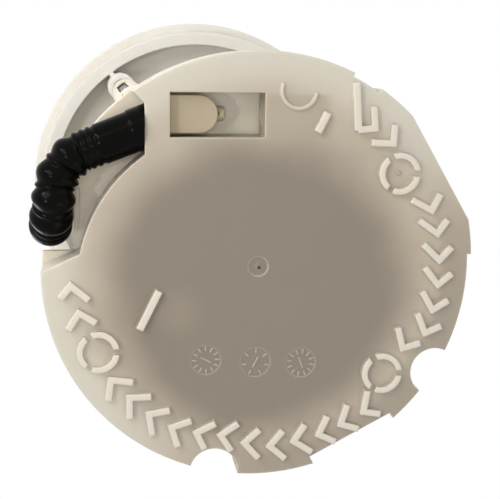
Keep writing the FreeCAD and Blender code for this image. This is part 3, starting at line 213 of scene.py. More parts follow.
class EffectKit:
    """Builds each shared effect once, as a node group, and places it in materials."""

    def __init__(self) -> None:
        """Start with no groups built."""
        self.groups: dict[Effect, bpy.types.NodeTree] = {}
        self.makers: dict[Effect, Callable[[], bpy.types.NodeTree]] = {
            Effect.FLOW: self.make_flow,
            Effect.EDGES: self.make_edges,
            Effect.TURNING: self.make_turning,
            Effect.WEAVE: self.make_weave,
            Effect.PORES: self.make_pores,
        }

    def add(self, tree: Tree, effect: Effect, **values: object) -> bpy.types.Node:
        """Place an effect in a material.

        Args:
            tree: The material's tree.
            effect: Which effect.
            **values: The group's inputs, by name.

        Returns:
            The group's node.
        """
        if effect not in self.groups:
            self.groups[effect] = self.makers[effect]()
        node = tree.node("ShaderNodeGroup", node_tree=self.groups[effect])
        for name, value in values.items():
            tree.feed(value, node.inputs[name])
        return node

    @staticmethod
    def start(effect: Effect, inputs: dict[str, float],
              outputs: dict[str, str]) -> tuple[Tree, bpy.types.Node, bpy.types.Node]:
        """Make an empty group with its named sockets.

        Args:
            effect: The effect that the group makes.
            inputs: Names and usual values of its inputs.
            outputs: Names and socket types of its outputs.

        Returns:
            The tree, its input node and its output node.
        """
        group = bpy.data.node_groups.new(effect.value, "ShaderNodeTree")
        for name, value in inputs.items():
            socket = group.interface.new_socket(name=name, in_out="INPUT", socket_type="NodeSocketFloat")
            socket.default_value = value
        for name, kind in outputs.items():
            group.interface.new_socket(name=name, in_out="OUTPUT", socket_type=kind)
        tree = Tree(group)
        return tree, tree.node("NodeGroupInput"), tree.node("NodeGroupOutput")

    def make_flow(self) -> bpy.types.NodeTree:
        """Cloudy flow marks of moulded plastic, with a fine satin grain."""
        tree, source, result = self.start(
            Effect.FLOW, {"Scale": 40.0, "Grain": 2600.0},
            {"Mask": "NodeSocketFloat", "Height": "NodeSocketFloat"})
        clouds = tree.noise(source.outputs["Scale"], 3.0)
        grain = tree.noise(source.outputs["Grain"], 2.0)
        tree.feed(tree.ramp(clouds, 0.3, 0.7), result.inputs["Mask"])
        tree.feed(grain, result.inputs["Height"])
        return tree.tree

    def make_edges(self) -> bpy.types.NodeTree:
        """Edges that look rounded, and a mask of where they are."""
        tree, source, result = self.start(
            Effect.EDGES, {"Width": 0.0004}, {"Edge": "NodeSocketFloat", "Normal": "NodeSocketVector"})
        bevel = tree.node("ShaderNodeBevel", samples=4)
        tree.feed(source.outputs["Width"], bevel.inputs["Radius"])
        flat = tree.node("ShaderNodeNewGeometry")
        dot = tree.node("ShaderNodeVectorMath", operation="DOT_PRODUCT")
        tree.feed(bevel.outputs["Normal"], dot.inputs[0])
        tree.feed(flat.outputs["Normal"], dot.inputs[1])
        tree.feed(tree.ramp(dot.outputs["Value"], 0.995, 0.8), result.inputs["Edge"])
        tree.feed(bevel.outputs["Normal"], result.inputs["Normal"])
        return tree.tree

    def make_turning(self) -> bpy.types.NodeTree:
        """Fine rings left by turning or drawing, that change along Z."""
        tree, source, result = self.start(
            Effect.TURNING, {"Scale": 4000.0, "Around": 30.0},
            {"Mask": "NodeSocketFloat", "Height": "NodeSocketFloat"})
        parts = tree.node("ShaderNodeSeparateXYZ")
        tree.feed(tree.place(), parts.inputs[0])
        joined = tree.node("ShaderNodeCombineXYZ")
        around, along = source.outputs["Around"], source.outputs["Scale"]
        for axis, factor in enumerate((around, around, along)):
            tree.feed(tree.math("MULTIPLY", parts.outputs[axis], factor), joined.inputs[axis])
        lines = tree.noise(1.0, 2.0, joined.outputs[0])
        tree.feed(tree.ramp(lines, 0.3, 0.7), result.inputs["Mask"])
        tree.feed(lines, result.inputs["Height"])
        return tree.tree

    def make_weave(self) -> bpy.types.NodeTree:
        """A plain woven mesh, with a mask of its holes."""
        tree, source, result = self.start(
            Effect.WEAVE, {"Pitch": 0.0006}, {"Mask": "NodeSocketFloat", "Height": "NodeSocketFloat"})
        parts = tree.node("ShaderNodeSeparateXYZ")
        tree.feed(tree.place(), parts.inputs[0])
        turns = tree.math("DIVIDE", TURN, source.outputs["Pitch"])
        waves = [tree.math("SINE", tree.math("MULTIPLY", parts.outputs[axis], turns)) for axis in range(3)]
        warp = tree.math("ADD", waves[0], waves[2])
        weft = tree.math("ADD", waves[1], waves[2])
        woven = tree.math("MULTIPLY", warp, weft)
        tree.feed(tree.ramp(woven, -1.0, 1.0), result.inputs["Height"])
        tree.feed(tree.ramp(woven, 0.4, 1.0), result.inputs["Mask"])
        return tree.tree

    def make_pores(self) -> bpy.types.NodeTree:
        """Small round cells of foam or pressed powder."""
        tree, source, result = self.start(
            Effect.PORES, {"Scale": 1400.0}, {"Mask": "NodeSocketFloat", "Height": "NodeSocketFloat"})
        cells = tree.node("ShaderNodeTexVoronoi")
        tree.feed(tree.place(), cells.inputs["Vector"])
        tree.feed(source.outputs["Scale"], cells.inputs["Scale"])
        tree.feed(tree.ramp(cells.outputs["Distance"], 0.1, 0.5), result.inputs["Mask"])
        tree.feed(cells.outputs["Distance"], result.inputs["Height"])
        return tree.tree


EFFECTS = EffectKit()

PAINTED_EDGE_LIGHT_SHARE = 0.7
TRANSLUCENCE = 0.5
SCATTER = (1.0, 0.9, 0.7)


@dataclass(frozen=True)
class Finish:
    """A finish of one material: its colours, the painted light on its edges, gloss and the relief of its
    skin.
    """

    name: str
    base: Colour
    shade: Colour
    roughness: tuple[float, float] = (0.4, 0.5)
    metallic: float = 0.0
    edge: Colour | None = None
    edge_width: float = 0.0004
    relief: float = 0.00002
    specular: float = 0.5
    coat: float = 0.0
    depth: float = 0.0

    def build(self) -> bpy.types.Material:
        """Make the material.

        Returns:
            The finished material.
        """
        material = bpy.data.materials.new(self.name)
        material.use_nodes = True
        tree = Tree(material.node_tree)
        shader = material.node_tree.nodes["Principled BSDF"]
        mask, height = self.pattern(tree)
        colour = tree.mix(mask, self.base, self.shade)
        colour = self.paint_light_and_shade(tree, colour)
        edges = EFFECTS.add(tree, Effect.EDGES, Width=self.edge_width)
        # Painted light: the edge colour paints moulded edges paler, standing in for light that bleeds
        # through them.
        if self.edge is not None:
            colour = tree.mix(tree.math("MULTIPLY", edges.outputs["Edge"], PAINTED_EDGE_LIGHT_SHARE), colour, self.edge)
        tree.feed(colour, shader.inputs["Base Color"])
        tree.feed(tree.ramp(mask, 0.0, 1.0, *self.roughness), shader.inputs["Roughness"])
        bump = tree.node("ShaderNodeBump")
        bump.inputs["Distance"].default_value = self.relief
        tree.feed(height, bump.inputs["Height"])
        tree.feed(edges.outputs["Normal"], bump.inputs["Normal"])
        tree.feed(bump.outputs["Normal"], shader.inputs["Normal"])
        shader.inputs["Metallic"].default_value = self.metallic
        shader.inputs["Specular IOR Level"].default_value = self.specular
        shader.inputs["Coat Weight"].default_value = self.coat
        if self.depth:
            shader.inputs["Subsurface Weight"].default_value = TRANSLUCENCE
            shader.inputs["Subsurface Scale"].default_value = self.depth
            shader.inputs["Subsurface Radius"].default_value = SCATTER
        return material

    def pattern(self, tree: Tree) -> tuple[bpy.types.NodeSocket, bpy.types.NodeSocket]:
        """Make the mask between base and shade, and the height of the skin.

        Args:
            tree: The material's tree.

        Returns:
            The sockets of the mask and of the height.
        """
        flow = EFFECTS.add(tree, Effect.FLOW)
        return flow.outputs["Mask"], flow.outputs["Height"]

    def paint_light_and_shade(self, tree: Tree, colour: bpy.types.NodeSocket) -> bpy.types.NodeSocket:
        """Paint light and shade over the colour by place; a plain finish leaves it as it is."""
        return colour


@dataclass(frozen=True)
class TrayAcetal(Finish):
    """Ivory acetal of the tray, with painted shade and light: the hollow cup behind the plate shows as a
    darker disc of painted shade, the rim has painted light on one side and painted shade on the other, and
    a painted shadow lies behind a sleeve.
    """

    disc_painted_shade: Colour = tone(134, 124, 110)
    rib: Colour = tone(212, 204, 190)
    rim_painted_light: Colour = tone(202, 196, 182)
    painted_shade: Colour = tone(155, 144, 128)
    pocket: Colour = tone(166, 155, 137)
    disc_centre: tuple[float, float] = (0.0, 0.0062)
    disc_radius: tuple[float, float] = (0.0315, 0.0480)
    wobble_scale: float = 28.0
    wobble: float = 0.003
    rim_light_reach: tuple[float, float] = (0.042, 0.0535)
    rim_light_lean: tuple[float, float] = (-0.034, 0.004)
    strip_centre: tuple[float, float] = (-0.002, -0.0388)
    strip_across: tuple[float, float] = (0.022, 0.018)
    strip_down: tuple[float, float] = (0.0064, 0.0048)
    strip_share: float = 0.6
    rim_shade_lean: tuple[float, float] = (-0.014, -0.045)
    rim_shade_reach: tuple[float, float] = (0.0465, 0.0525)
    rim_shade_share: float = 0.85
    sleeve_shadow_centre: tuple[float, float] = (-0.0215, 0.0120)
    sleeve_shadow_reach: tuple[float, float] = (0.0095, 0.001)
    sleeve_shadow_share: float = 0.42
    rib_height: tuple[float, float] = (0.0012, 0.0004)

    def paint_light_and_shade(self, tree: Tree, colour: bpy.types.NodeSocket) -> bpy.types.NodeSocket:
        """Lay painted shade and light over the colour: the disc of painted shade, painted light and painted
        shade on two sides of the rim, a painted shadow behind a sleeve, a darker strip, and the pale ribs.

        Args:
            tree: The material's tree.
            colour: Colour of the plain plastic.

        Returns:
            The socket of the changed colour.
        """
        place = tree.node("ShaderNodeSeparateXYZ")
        tree.feed(tree.place(), place.inputs[0])
        x, y, z = place.outputs
        wobble = tree.ramp(tree.noise(self.wobble_scale, 2.0), 0.2, 0.8, -self.wobble, self.wobble)
        lean = tree.math("MULTIPLY", tree.math("ADD", x, y), -math.sqrt(0.5))
        near = self.reach(tree, x, y, self.disc_centre)
        # Painted shade: the middle of the plate is painted darker where the hollow cup behind it holds back
        # the light that passes through.
        disc = tree.ramp(tree.math("ADD", near, wobble), *self.disc_radius)
        rim_reach = self.reach(tree, x, y, (0.0, 0.0))
        # Painted light: the rim is painted paler on its side towards -X and -Y.
        rim_light_mask = tree.math(
            "MULTIPLY", tree.ramp(rim_reach, *self.rim_light_reach), tree.ramp(lean, *self.rim_light_lean))
        rim = tree.mix(rim_light_mask, colour, self.rim_painted_light)
        shown = tree.mix(disc, self.disc_painted_shade, rim)
        beside = tree.math("ABSOLUTE", tree.math("SUBTRACT", x, self.strip_centre[0]))
        above = tree.math("ABSOLUTE", tree.math("SUBTRACT", y, self.strip_centre[1]))
        strip = tree.math(
            "MULTIPLY", tree.ramp(beside, *self.strip_across), tree.ramp(above, *self.strip_down))
        shown = tree.mix(tree.math("MULTIPLY", strip, self.strip_share), shown, self.pocket)
        # Painted shade: the rim is painted darker on its side towards +X and +Y.
        shaded_side = tree.ramp(lean, *self.rim_shade_lean)
        painted_shade = tree.math("MULTIPLY", tree.ramp(rim_reach, *self.rim_shade_reach), shaded_side)
        shown = tree.mix(tree.math("MULTIPLY", painted_shade, self.rim_shade_share), shown, self.painted_shade)
        # Painted shadow: a soft dark spot beside the bar, where a part behind the plate casts its shadow
        # through it.
        from_sleeve_shadow = self.reach(tree, x, y, self.sleeve_shadow_centre)
        sleeve_shadow = tree.ramp(from_sleeve_shadow, *self.sleeve_shadow_reach, 0.0, self.sleeve_shadow_share)
        shown = tree.mix(sleeve_shadow, shown, self.painted_shade)
        tip = tree.ramp(z, *self.rib_height)
        return tree.mix(tip, shown, self.rib)

    @staticmethod
    def reach(tree: Tree, x: object, y: object, centre: tuple[float, float]) -> bpy.types.NodeSocket:
        """Give the distance in plan from a point."""
        across = tree.math("POWER", tree.math("SUBTRACT", x, centre[0]), 2.0)
        down = tree.math("POWER", tree.math("SUBTRACT", y, centre[1]), 2.0)
        return tree.math("SQRT", tree.math("ADD", across, down))


@dataclass(frozen=True)
class TurnedMetal(Finish):
    """Drawn or turned metal with fine rings."""

    rings: float = 4000.0
    metallic: float = 1.0
    roughness: tuple[float, float] = (0.24, 0.36)

    def pattern(self, tree: Tree) -> tuple[bpy.types.NodeSocket, bpy.types.NodeSocket]:
        """Use turning marks for mask and height."""
        marks = EFFECTS.add(tree, Effect.TURNING, Scale=self.rings)
        return marks.outputs["Mask"], marks.outputs["Height"]


@dataclass(frozen=True)
class CellFinish(Finish):
    """Foam, rubber or pressed powder with small cells."""

    cells: float = 1400.0
    roughness: tuple[float, float] = (0.65, 0.85)

    def pattern(self, tree: Tree) -> tuple[bpy.types.NodeSocket, bpy.types.NodeSocket]:
        """Use pores for mask and height."""
        pores = EFFECTS.add(tree, Effect.PORES, Scale=self.cells)
        return pores.outputs["Mask"], pores.outputs["Height"]


@dataclass(frozen=True)
class WovenFinish(Finish):
    """Woven filter mesh."""

    pitch: float = 0.0006

    def pattern(self, tree: Tree) -> tuple[bpy.types.NodeSocket, bpy.types.NodeSocket]:
        """Use the weave for mask and height."""
        weave = EFFECTS.add(tree, Effect.WEAVE, Pitch=self.pitch)
        return weave.outputs["Mask"], weave.outputs["Height"]


IVORY_SHADE = tone(206, 196, 178)
FINISHES: dict[str, Finish] = {
    "tray": TrayAcetal("ivory_tray", tone(186, 174, 157), tone(180, 168, 150), depth=0.003,
                       edge=tone(224, 215, 198), edge_width=0.0006),
    "ivory_acetal": Finish("ivory_acetal", tone(214, 206, 190), IVORY_SHADE, depth=0.003,
                           edge=tone(232, 226, 212)),
    "ivory_flange": Finish("ivory_flange", tone(226, 222, 214), tone(222, 217, 207), depth=0.003,
                           edge=tone(232, 229, 221)),
    "white_acetal": Finish("white_acetal", tone(205, 192, 168), tone(198, 185, 160), depth=0.0010),
    "black_hose": Finish("black_hose", tone(3, 3, 2), tone(6, 5, 4), roughness=(0.12, 0.2),
                         specular=0.06, relief=0.00001),
    "black_plastic": Finish("black_plastic", tone(34, 34, 36), tone(44, 44, 46), roughness=(0.45, 0.6),
                            edge=tone(66, 66, 68)),
    "bright_steel": TurnedMetal("bright_steel", tone(205, 205, 202), tone(188, 188, 186)),
    "spring_steel": TurnedMetal("spring_steel", tone(168, 168, 170), tone(140, 140, 143), rings=1500.0),
    "zinc_shell": TurnedMetal("zinc_shell", tone(208, 208, 203), tone(190, 191, 187), rings=1200.0,
                              roughness=(0.28, 0.42)),
    "core_steel": TurnedMetal("core_steel", tone(150, 148, 145), tone(110, 108, 106), rings=2000.0,
                              roughness=(0.4, 0.55), relief=0.00006),
    "cast_alloy": TurnedMetal("cast_alloy", tone(206, 206, 206), tone(184, 184, 186), rings=300.0,
                              roughness=(0.38, 0.52)),
    "copper": TurnedMetal("copper", tone(202, 128, 84), tone(170, 96, 60), rings=3000.0, relief=0.00008),
    "tinned_brass": TurnedMetal("tinned_brass", tone(216, 208, 180), tone(196, 186, 152)),
    "bronze": TurnedMetal("bronze", tone(178, 138, 84), tone(150, 112, 66), roughness=(0.4, 0.5)),
    "ferrite": CellFinish("ferrite", tone(68, 68, 71), tone(54, 54, 57), cells=2600.0),
    "carbon": CellFinish("carbon", tone(46, 46, 47), tone(34, 34, 35), cells=3000.0),
    "black_rubber": CellFinish("black_rubber", tone(38, 38, 39), tone(30, 30, 31), cells=2200.0),
    "orange_rubber": CellFinish("orange_rubber", tone(146, 66, 34), tone(126, 54, 28), cells=2200.0,
                                roughness=(0.45, 0.6)),
    "nylon_mesh": WovenFinish("nylon_mesh", tone(236, 233, 222), tone(150, 146, 136),
                              roughness=(0.55, 0.8), relief=0.0001),
    "sender_ceramic": Finish("sender_ceramic", tone(228, 227, 222), tone(216, 215, 209)),
    "float_foam": CellFinish("float_foam", tone(52, 48, 45), tone(36, 33, 31), cells=1300.0,
                             relief=0.0001),
    "nozzle_acetal": Finish("nozzle_acetal", tone(178, 164, 138), tone(170, 156, 130), depth=0.001,
                            edge=tone(190, 178, 154)),
    "witness_mark": Finish("witness_mark", tone(186, 175, 160), tone(178, 167, 151), depth=0.0006),
    "gate_hole_painted_shade": Finish("gate_hole_painted_shade", tone(58, 50, 42), tone(48, 40, 34)),
}


class Paint:
    """Hands out one material for each finish, made when it is first asked for."""

    def __init__(self) -> None:
        """Start with no materials made."""
        self.made: dict[str, bpy.types.Material] = {}

    def get(self, name: str) -> bpy.types.Material:
        """Give the material of a finish."""
        if name not in self.made:
            self.made[name] = FINISHES[name].build()
        return self.made[name]


PAINT = Paint()


def smooth(mesh: bpy.types.Mesh, angle: float = 35.0) -> None:
    """Shade a mesh smooth except over edges sharper than an angle in degrees."""
    for face in mesh.polygons:
        face.use_smooth = True
    mesh.set_sharp_from_angle(angle=math.radians(angle))


def evaluated(piece: bpy.types.Object) -> bpy.types.Mesh:
    """Give a piece's mesh with its modifiers applied."""
    bpy.context.view_layer.update()
    graph = bpy.context.evaluated_depsgraph_get()
    return bpy.data.meshes.new_from_object(piece.evaluated_get(graph))


def weighted(mesh: bpy.types.Mesh) -> bpy.types.Mesh:
    """Give a mesh normals that keep its large flat faces flat.

    Args:
        mesh: A smoothly shaded mesh.

    Returns:
        The mesh with its own normals.
    """
    blank = bpy.data.objects.new(mesh.name + "_blank", mesh)
    bpy.context.scene.collection.objects.link(blank)
    normals = blank.modifiers.new("flat_faces", "WEIGHTED_NORMAL")
    normals.mode = "FACE_AREA"
    normals.keep_sharp = True
    result = evaluated(blank)
    bpy.data.objects.remove(blank)
    return result


def flat_faced(mesh: bpy.types.Mesh, level: float = 0.99996, turn: float = 0.82,
               least: float = 1e-6) -> bpy.types.Mesh:
    """Let the large flats of an unrounded mesh set the shading along their edges.

    Args:
        mesh: A smoothly shaded mesh of small faces.
        level: Cosine of the angle within which neighbours are one flat.
        turn: Cosine of the angle past which an edge stays sharp.
        least: Smallest area that a flat counts with, in square millimetres.

    Returns:
        The same mesh, with a normal of its own at each corner.
    """
    work = bmesh.new()
    work.from_mesh(mesh)
    weight = [0.0] * len(work.faces)
    for start in work.faces:
        if weight[start.index]:
            continue
        flat = [start]
        seen = {start.index}
        for face in flat:
            for other in (near for edge in face.edges for near in edge.link_faces):
                if other.index not in seen and other.normal.dot(start.normal) > level:
                    seen.add(other.index)
                    flat.append(other)
        area = sum(face.calc_area() for face in flat) / MM ** 2
        for face in flat:
            weight[face.index] = max(area, least) ** 2
    normals = []
    for loop in (corner for face in work.faces for corner in face.loops):
        total = Vector((0.0, 0.0, 0.0))
        for other in loop.vert.link_faces:
            if other.normal.dot(loop.face.normal) > turn:
                total += other.normal * weight[other.index]
        normals.append(total.normalized())
    work.free()
    mesh.normals_split_custom_set(normals)
    return mesh


def add_piece(name: str, mesh: bpy.types.Mesh, finish: str) -> bpy.types.Object:
    """Put a mesh in the scene as a named piece with one finish.

    Args:
        name: The piece's name.
        mesh: Its mesh, in the part's frame.
        finish: Name of its finish.

    Returns:
        The new object.
    """
    mesh.name = name
    mesh.materials.clear()
    mesh.materials.append(PAINT.get(finish))
    piece = bpy.data.objects.new(name, mesh)
    bpy.context.scene.collection.objects.link(piece)
    LOG.info("piece %s: %d faces", name, len(mesh.polygons))
    return piece


def rounded_copy(node: str, name: str, finish: str, width: float, segments: int = 2) -> bpy.types.Object:
    """Copy a CAD node with joined faces, rounded edges and smooth shading.

    Args:
        node: The CAD node's name.
        name: Name of the new piece.
        finish: Name of its finish.
        width: Width of the rounding, in metres; 0 leaves the edges sharp.
        segments: Steps in the rounding.

    Returns:
        The new object, not yet riding on a body.
    """
    mesh = bpy.data.meshes.new(name)
    work = bmesh.new()
    work.from_mesh(frame["nodes"][node].data)
    bmesh.ops.remove_doubles(work, verts=work.verts, dist=2e-6)
    if width:
        bmesh.ops.dissolve_limit(
            work, angle_limit=math.radians(0.6), verts=work.verts, edges=work.edges, delimit={"NORMAL"})
    work.to_mesh(mesh)
    work.free()
    if width:
        blank = bpy.data.objects.new(name + "_blank", mesh)
        bpy.context.scene.collection.objects.link(blank)
        bevel = blank.modifiers.new("rounding", "BEVEL")
        bevel.width = width
        bevel.segments = segments
        bevel.limit_method = "ANGLE"
        bevel.angle_limit = math.radians(40.0)
        bevel.use_clamp_overlap = False
        mesh = evaluated(blank)
        bpy.data.objects.remove(blank)
    smooth(mesh)
    return add_piece(name, weighted(mesh) if width else flat_faced(mesh), finish)


def stand_in(piece: bpy.types.Object, node: str, body: Body) -> None:
    """Let a piece stand for a CAD node on its body."""
    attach(piece, body.value)
    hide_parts(node)


class NodeProgram:
    """Builds a Geometry Nodes tree and turns its result into a plain mesh."""

    def __init__(self, name: str, inputs: dict[str, tuple[str, object]]) -> None:
        """Make the tree with its named inputs.

        Args:
            name: The tree's name.
            inputs: For each input its socket type and value.
        """
        self.group = bpy.data.node_groups.new(name, "GeometryNodeTree")
        self.values = {}
        for entry, (kind, value) in inputs.items():
            socket = self.group.interface.new_socket(name=entry, in_out="INPUT", socket_type=kind)
            self.values[socket.identifier] = value
        self.group.interface.new_socket(name="Geometry", in_out="OUTPUT", socket_type="NodeSocketGeometry")
        self.tree = Tree(self.group)
        self.source = self.tree.node("NodeGroupInput")
        self.result = self.tree.node("NodeGroupOutput")

    def step(self, kind: str, inputs: dict[str, object] | None = None,
             **settings: object) -> bpy.types.Node:
        """Add a node, set its options and feed its inputs.

        Args:
            kind: Blender's name of the node type.
            inputs: Its inputs by name, as sockets or values.
            **settings: Options to set on the node.

        Returns:
            The new node.
        """
        node = self.tree.node(kind, **settings)
        for name, value in (inputs or {}).items():
            self.tree.feed(value, node.inputs[name])
        return node

    def end(self, geometry: bpy.types.NodeSocket, finish: str) -> bpy.types.Mesh:
        """Realize the result, set its material and read it as a mesh.

        Args:
            geometry: Socket of the finished geometry.
            finish: Name of its finish.

        Returns:
            The plain mesh.
        """
        whole = self.step("GeometryNodeRealizeInstances", {"Geometry": geometry})
        dressed = self.step(
            "GeometryNodeSetMaterial", {"Geometry": whole.outputs[0], "Material": PAINT.get(finish)})
        self.tree.feed(dressed.outputs[0], self.result.inputs[0])
        holder = bpy.data.objects.new(self.group.name, bpy.data.meshes.new(self.group.name))
        bpy.context.scene.collection.objects.link(holder)
        modifier = holder.modifiers.new("program", "NODES")
        modifier.node_group = self.group
        for identifier, value in self.values.items():
            modifier[identifier] = value
        mesh = evaluated(holder)
        holder.modifiers.remove(modifier)
        bpy.data.objects.remove(holder)
        return mesh


def cleaned(mesh: bpy.types.Mesh, angle: float = 35.0) -> bpy.types.Mesh:
    """Join a mesh's doubles, point its faces outwards and shade it smooth."""
    work = bmesh.new()
    work.from_mesh(mesh)
    bmesh.ops.remove_doubles(work, verts=work.verts, dist=1e-6)
    bmesh.ops.recalc_face_normals(work, faces=work.faces)
    work.to_mesh(mesh)
    work.free()
    smooth(mesh, angle)
    return mesh


@dataclass
class CorrugatedHose:
    """The return hose: a smooth cuff on the port, fine ridges, then wide rings up to the flange."""

    wall: float = -0.0294
    port: tuple[float, float, float] = (-0.0293, -0.0358, 0.006)
    first_corner: tuple[float, float, float] = (-0.0510, -0.0273, 0.006)
    riser: tuple[float, float, float] = (-0.0536, -0.0091, 0.006)
    top: float = 0.165
    first_bend: float = 0.012
    second_bend: float = 0.011
    outer: float = 0.0057
    valley: float = 0.0044
    bore: float = 0.0041
    bore_stride: int = 8
    lip: float = 0.0032
    lip_drop: float = 0.0003
    cuff: float = 0.0118
    ridges_end: float = 0.0172
    ridge_pitch: float = 0.0018
    ridge_depth: float = 0.0004
    lobe_pitch: float = 0.0058
    small_ring: float = 0.62
    small_width: float = 0.1
    lobe_power: float = 0.8
    top_cuff: float = 0.016
    bend_start: float = 0.022
    wall_slack: float = 0.1
    smooth_angle: float = 60.0
    step: float = 0.00029
    sides: int = 48

    def build(self) -> None:
        """Make the hose in place between reservoir and flange."""
        line = self.centre_line()
        mesh = self.skin(line)
        piece = add_piece("corrugated_return_hose", mesh, "black_hose")
        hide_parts("return_hose")
        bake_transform(piece)

    def centre_line(self) -> list[Vector]:
        """Sample the straight runs and arcs of the route at even steps.

        Returns:
            Points along the route, from the port to the top.
        """
        corners = [Vector(self.port), Vector(self.first_corner), Vector(self.riser),
                   Vector((self.riser[0], self.riser[1], self.top))]
        points = [corners[0]]
        for before, corner, after, radius in zip(corners, corners[1:], corners[2:],
                                                 (self.first_bend, self.second_bend)):
            back = (before - corner).normalized()
            ahead = (after - corner).normalized()
            half = (math.pi - back.angle(ahead)) / 2.0
            start = corner + back * (radius * math.tan(half))
            self.run(points, start)
            centre = corner + (back + ahead).normalized() * (radius / math.cos(half))
            axis = (-back).cross(ahead).normalized()
            steps = max(2, round(2.0 * half * radius / self.step))
            arm = start - centre
            for i in range(1, steps + 1):
                points.append(centre + Matrix.Rotation(2.0 * half * i / steps, 3, axis) @ arm)
        self.run(points, corners[-1])
        return points

    def run(self, points: list[Vector], end: Vector) -> None:
        """Add even steps of a straight run to a list of points."""
        start = points[-1]
        steps = max(1, round((end - start).length / self.step))
        points.extend(start.lerp(end, i / steps) for i in range(1, steps + 1))

    def radius_at(self, along: float, whole: float) -> float:
        """Give the outer radius at a distance along the hose.

        Args:
            along: Distance from the port's wall.
            whole: Length of the hose.

        Returns:
            The radius there.
        """
        plain = self.outer - self.lip_drop
        if along < self.lip:
            return self.outer
        if along < self.cuff or along > whole - self.top_cuff:
            return plain
        if along < self.ridges_end:
            wave = 0.5 - 0.5 * math.cos(TURN * (along - self.cuff) / self.ridge_pitch)
            return plain - self.ridge_depth * wave
        phase = ((along - self.ridges_end) / self.lobe_pitch) % 1.0
        lobe = (0.5 - 0.5 * math.cos(TURN * phase)) ** self.lobe_power
        from_ring = min(phase, 1.0 - phase) / self.small_width
        ring = self.small_ring * math.exp(-from_ring * from_ring)
        return self.valley + (self.outer - self.valley) * max(lobe, ring)

    def skin(self, line: Sequence[Vector]) -> bpy.types.Mesh:
        """Wrap rings of vertices round the centre line, outside and in the bore, and join them at the ends.

        Args:
            line: Points along the hose.

        Returns:
            The closed mesh.
        """
        mesh = bpy.data.meshes.new("corrugated_return_hose")
        work = bmesh.new()
        lengths = [0.0]
        for before, after in zip(line, line[1:]):
            lengths.append(lengths[-1] + (after - before).length)
        across = Vector((0.0, 0.0, 1.0))
        rings = []
        inner = []
        for i, point in enumerate(line):
            ahead = (line[min(i + 1, len(line) - 1)] - line[max(i - 1, 0)]).normalized()
            across = (across - ahead * across.dot(ahead)).normalized()
            up = ahead.cross(across)
            rings.append(self.ring(work, point, across, up, self.radius_at(lengths[i], lengths[-1])))
            if i % self.bore_stride == 0 or i == len(line) - 1:
                inner.append(self.ring(work, point, across, up, self.bore))
        for low, high in zip(rings, rings[1:]):
            self.join(work, low, high)
        for low, high in zip(inner, inner[1:]):
            self.join(work, high, low)
        self.join(work, inner[0], rings[0])
        self.join(work, rings[-1], inner[-1])
        self.meet_wall(rings, inner[0], (line[1] - line[0]).normalized())
        work.to_mesh(mesh)
        work.free()
        return cleaned(mesh, self.smooth_angle)

    def meet_wall(self, rings: Sequence[Sequence[bmesh.types.BMVert]], inner: Sequence[bmesh.types.BMVert],
                  ahead: Vector) -> None:
        """Slide the vertices at the port along the hose until none is inside the port's wall.

        Args:
            rings: The outer rings, from the port on.
            inner: The ring of the bore at the port.
            ahead: Direction of the hose at the port.
        """
        reach = self.wall - self.outer
        slanted = [ring for ring in rings if ring[0].co.x > reach] + [inner]
        for number, ring in enumerate(slanted):
            for vert in ring:
                limit = self.wall if ring is inner else self.wall - number * self.wall_slack * self.step
                if vert.co.x > limit or ring is inner or number == 0:
                    vert.co += ahead * ((limit - vert.co.x) / ahead.x)

    def ring(self, work: bmesh.types.BMesh, centre: Vector, across: Vector, up: Vector,
             radius: float) -> list[bmesh.types.BMVert]:
        """Add one ring of vertices round a point."""
        return [
            work.verts.new(centre + (across * math.cos(TURN * k / self.sides)
                                     + up * math.sin(TURN * k / self.sides)) * radius)
            for k in range(self.sides)
        ]

    def join(self, work: bmesh.types.BMesh, low: list, high: list) -> None:
        """Join two rings with a band of faces."""
        for k in range(self.sides):
            after = (k + 1) % self.sides
            work.faces.new((low[k], low[after], high[after], high[k]))


@dataclass
class CoilSpring:
    """A compression spring of round wire, made by a node program."""

    name: str
    node: str
    at: tuple[float, float]
    bottom: float
    top: float
    radius: float
    wire: float
    turns: float
    low_body: Body
    high_body: Body
    steps_per_turn: int = 26
    wire_sides: int = 8

    def build(self) -> None:
        """Wind the spring and put it in place."""
        program = NodeProgram(self.name + "_program", {
            "Turns": ("NodeSocketFloat", self.turns),
            "Coil Radius": ("NodeSocketFloat", self.radius),
            "Wire Radius": ("NodeSocketFloat", self.wire / 2.0),
            "Length": ("NodeSocketFloat", self.top - self.bottom - self.wire),
        })
        given = program.source.outputs
        spiral = program.step("GeometryNodeCurveSpiral", {
            "Resolution": self.steps_per_turn, "Rotations": given["Turns"], "Height": given["Length"],
            "Start Radius": given["Coil Radius"], "End Radius": given["Coil Radius"]})
        section = program.step("GeometryNodeCurvePrimitiveCircle", {
            "Resolution": self.wire_sides, "Radius": given["Wire Radius"]})
        coil = program.step("GeometryNodeCurveToMesh", {
            "Curve": spiral.outputs[0], "Profile Curve": section.outputs["Curve"], "Fill Caps": True})
        mesh = cleaned(program.end(coil.outputs[0], "spring_steel"), 50.0)
        mesh.transform(Matrix.Translation((*self.at, self.bottom + self.wire / 2.0)))
        piece = add_piece(self.name, mesh, "spring_steel")
        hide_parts(self.node)
        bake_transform(piece)


DIAL_FLOOR = 1.62 * MM


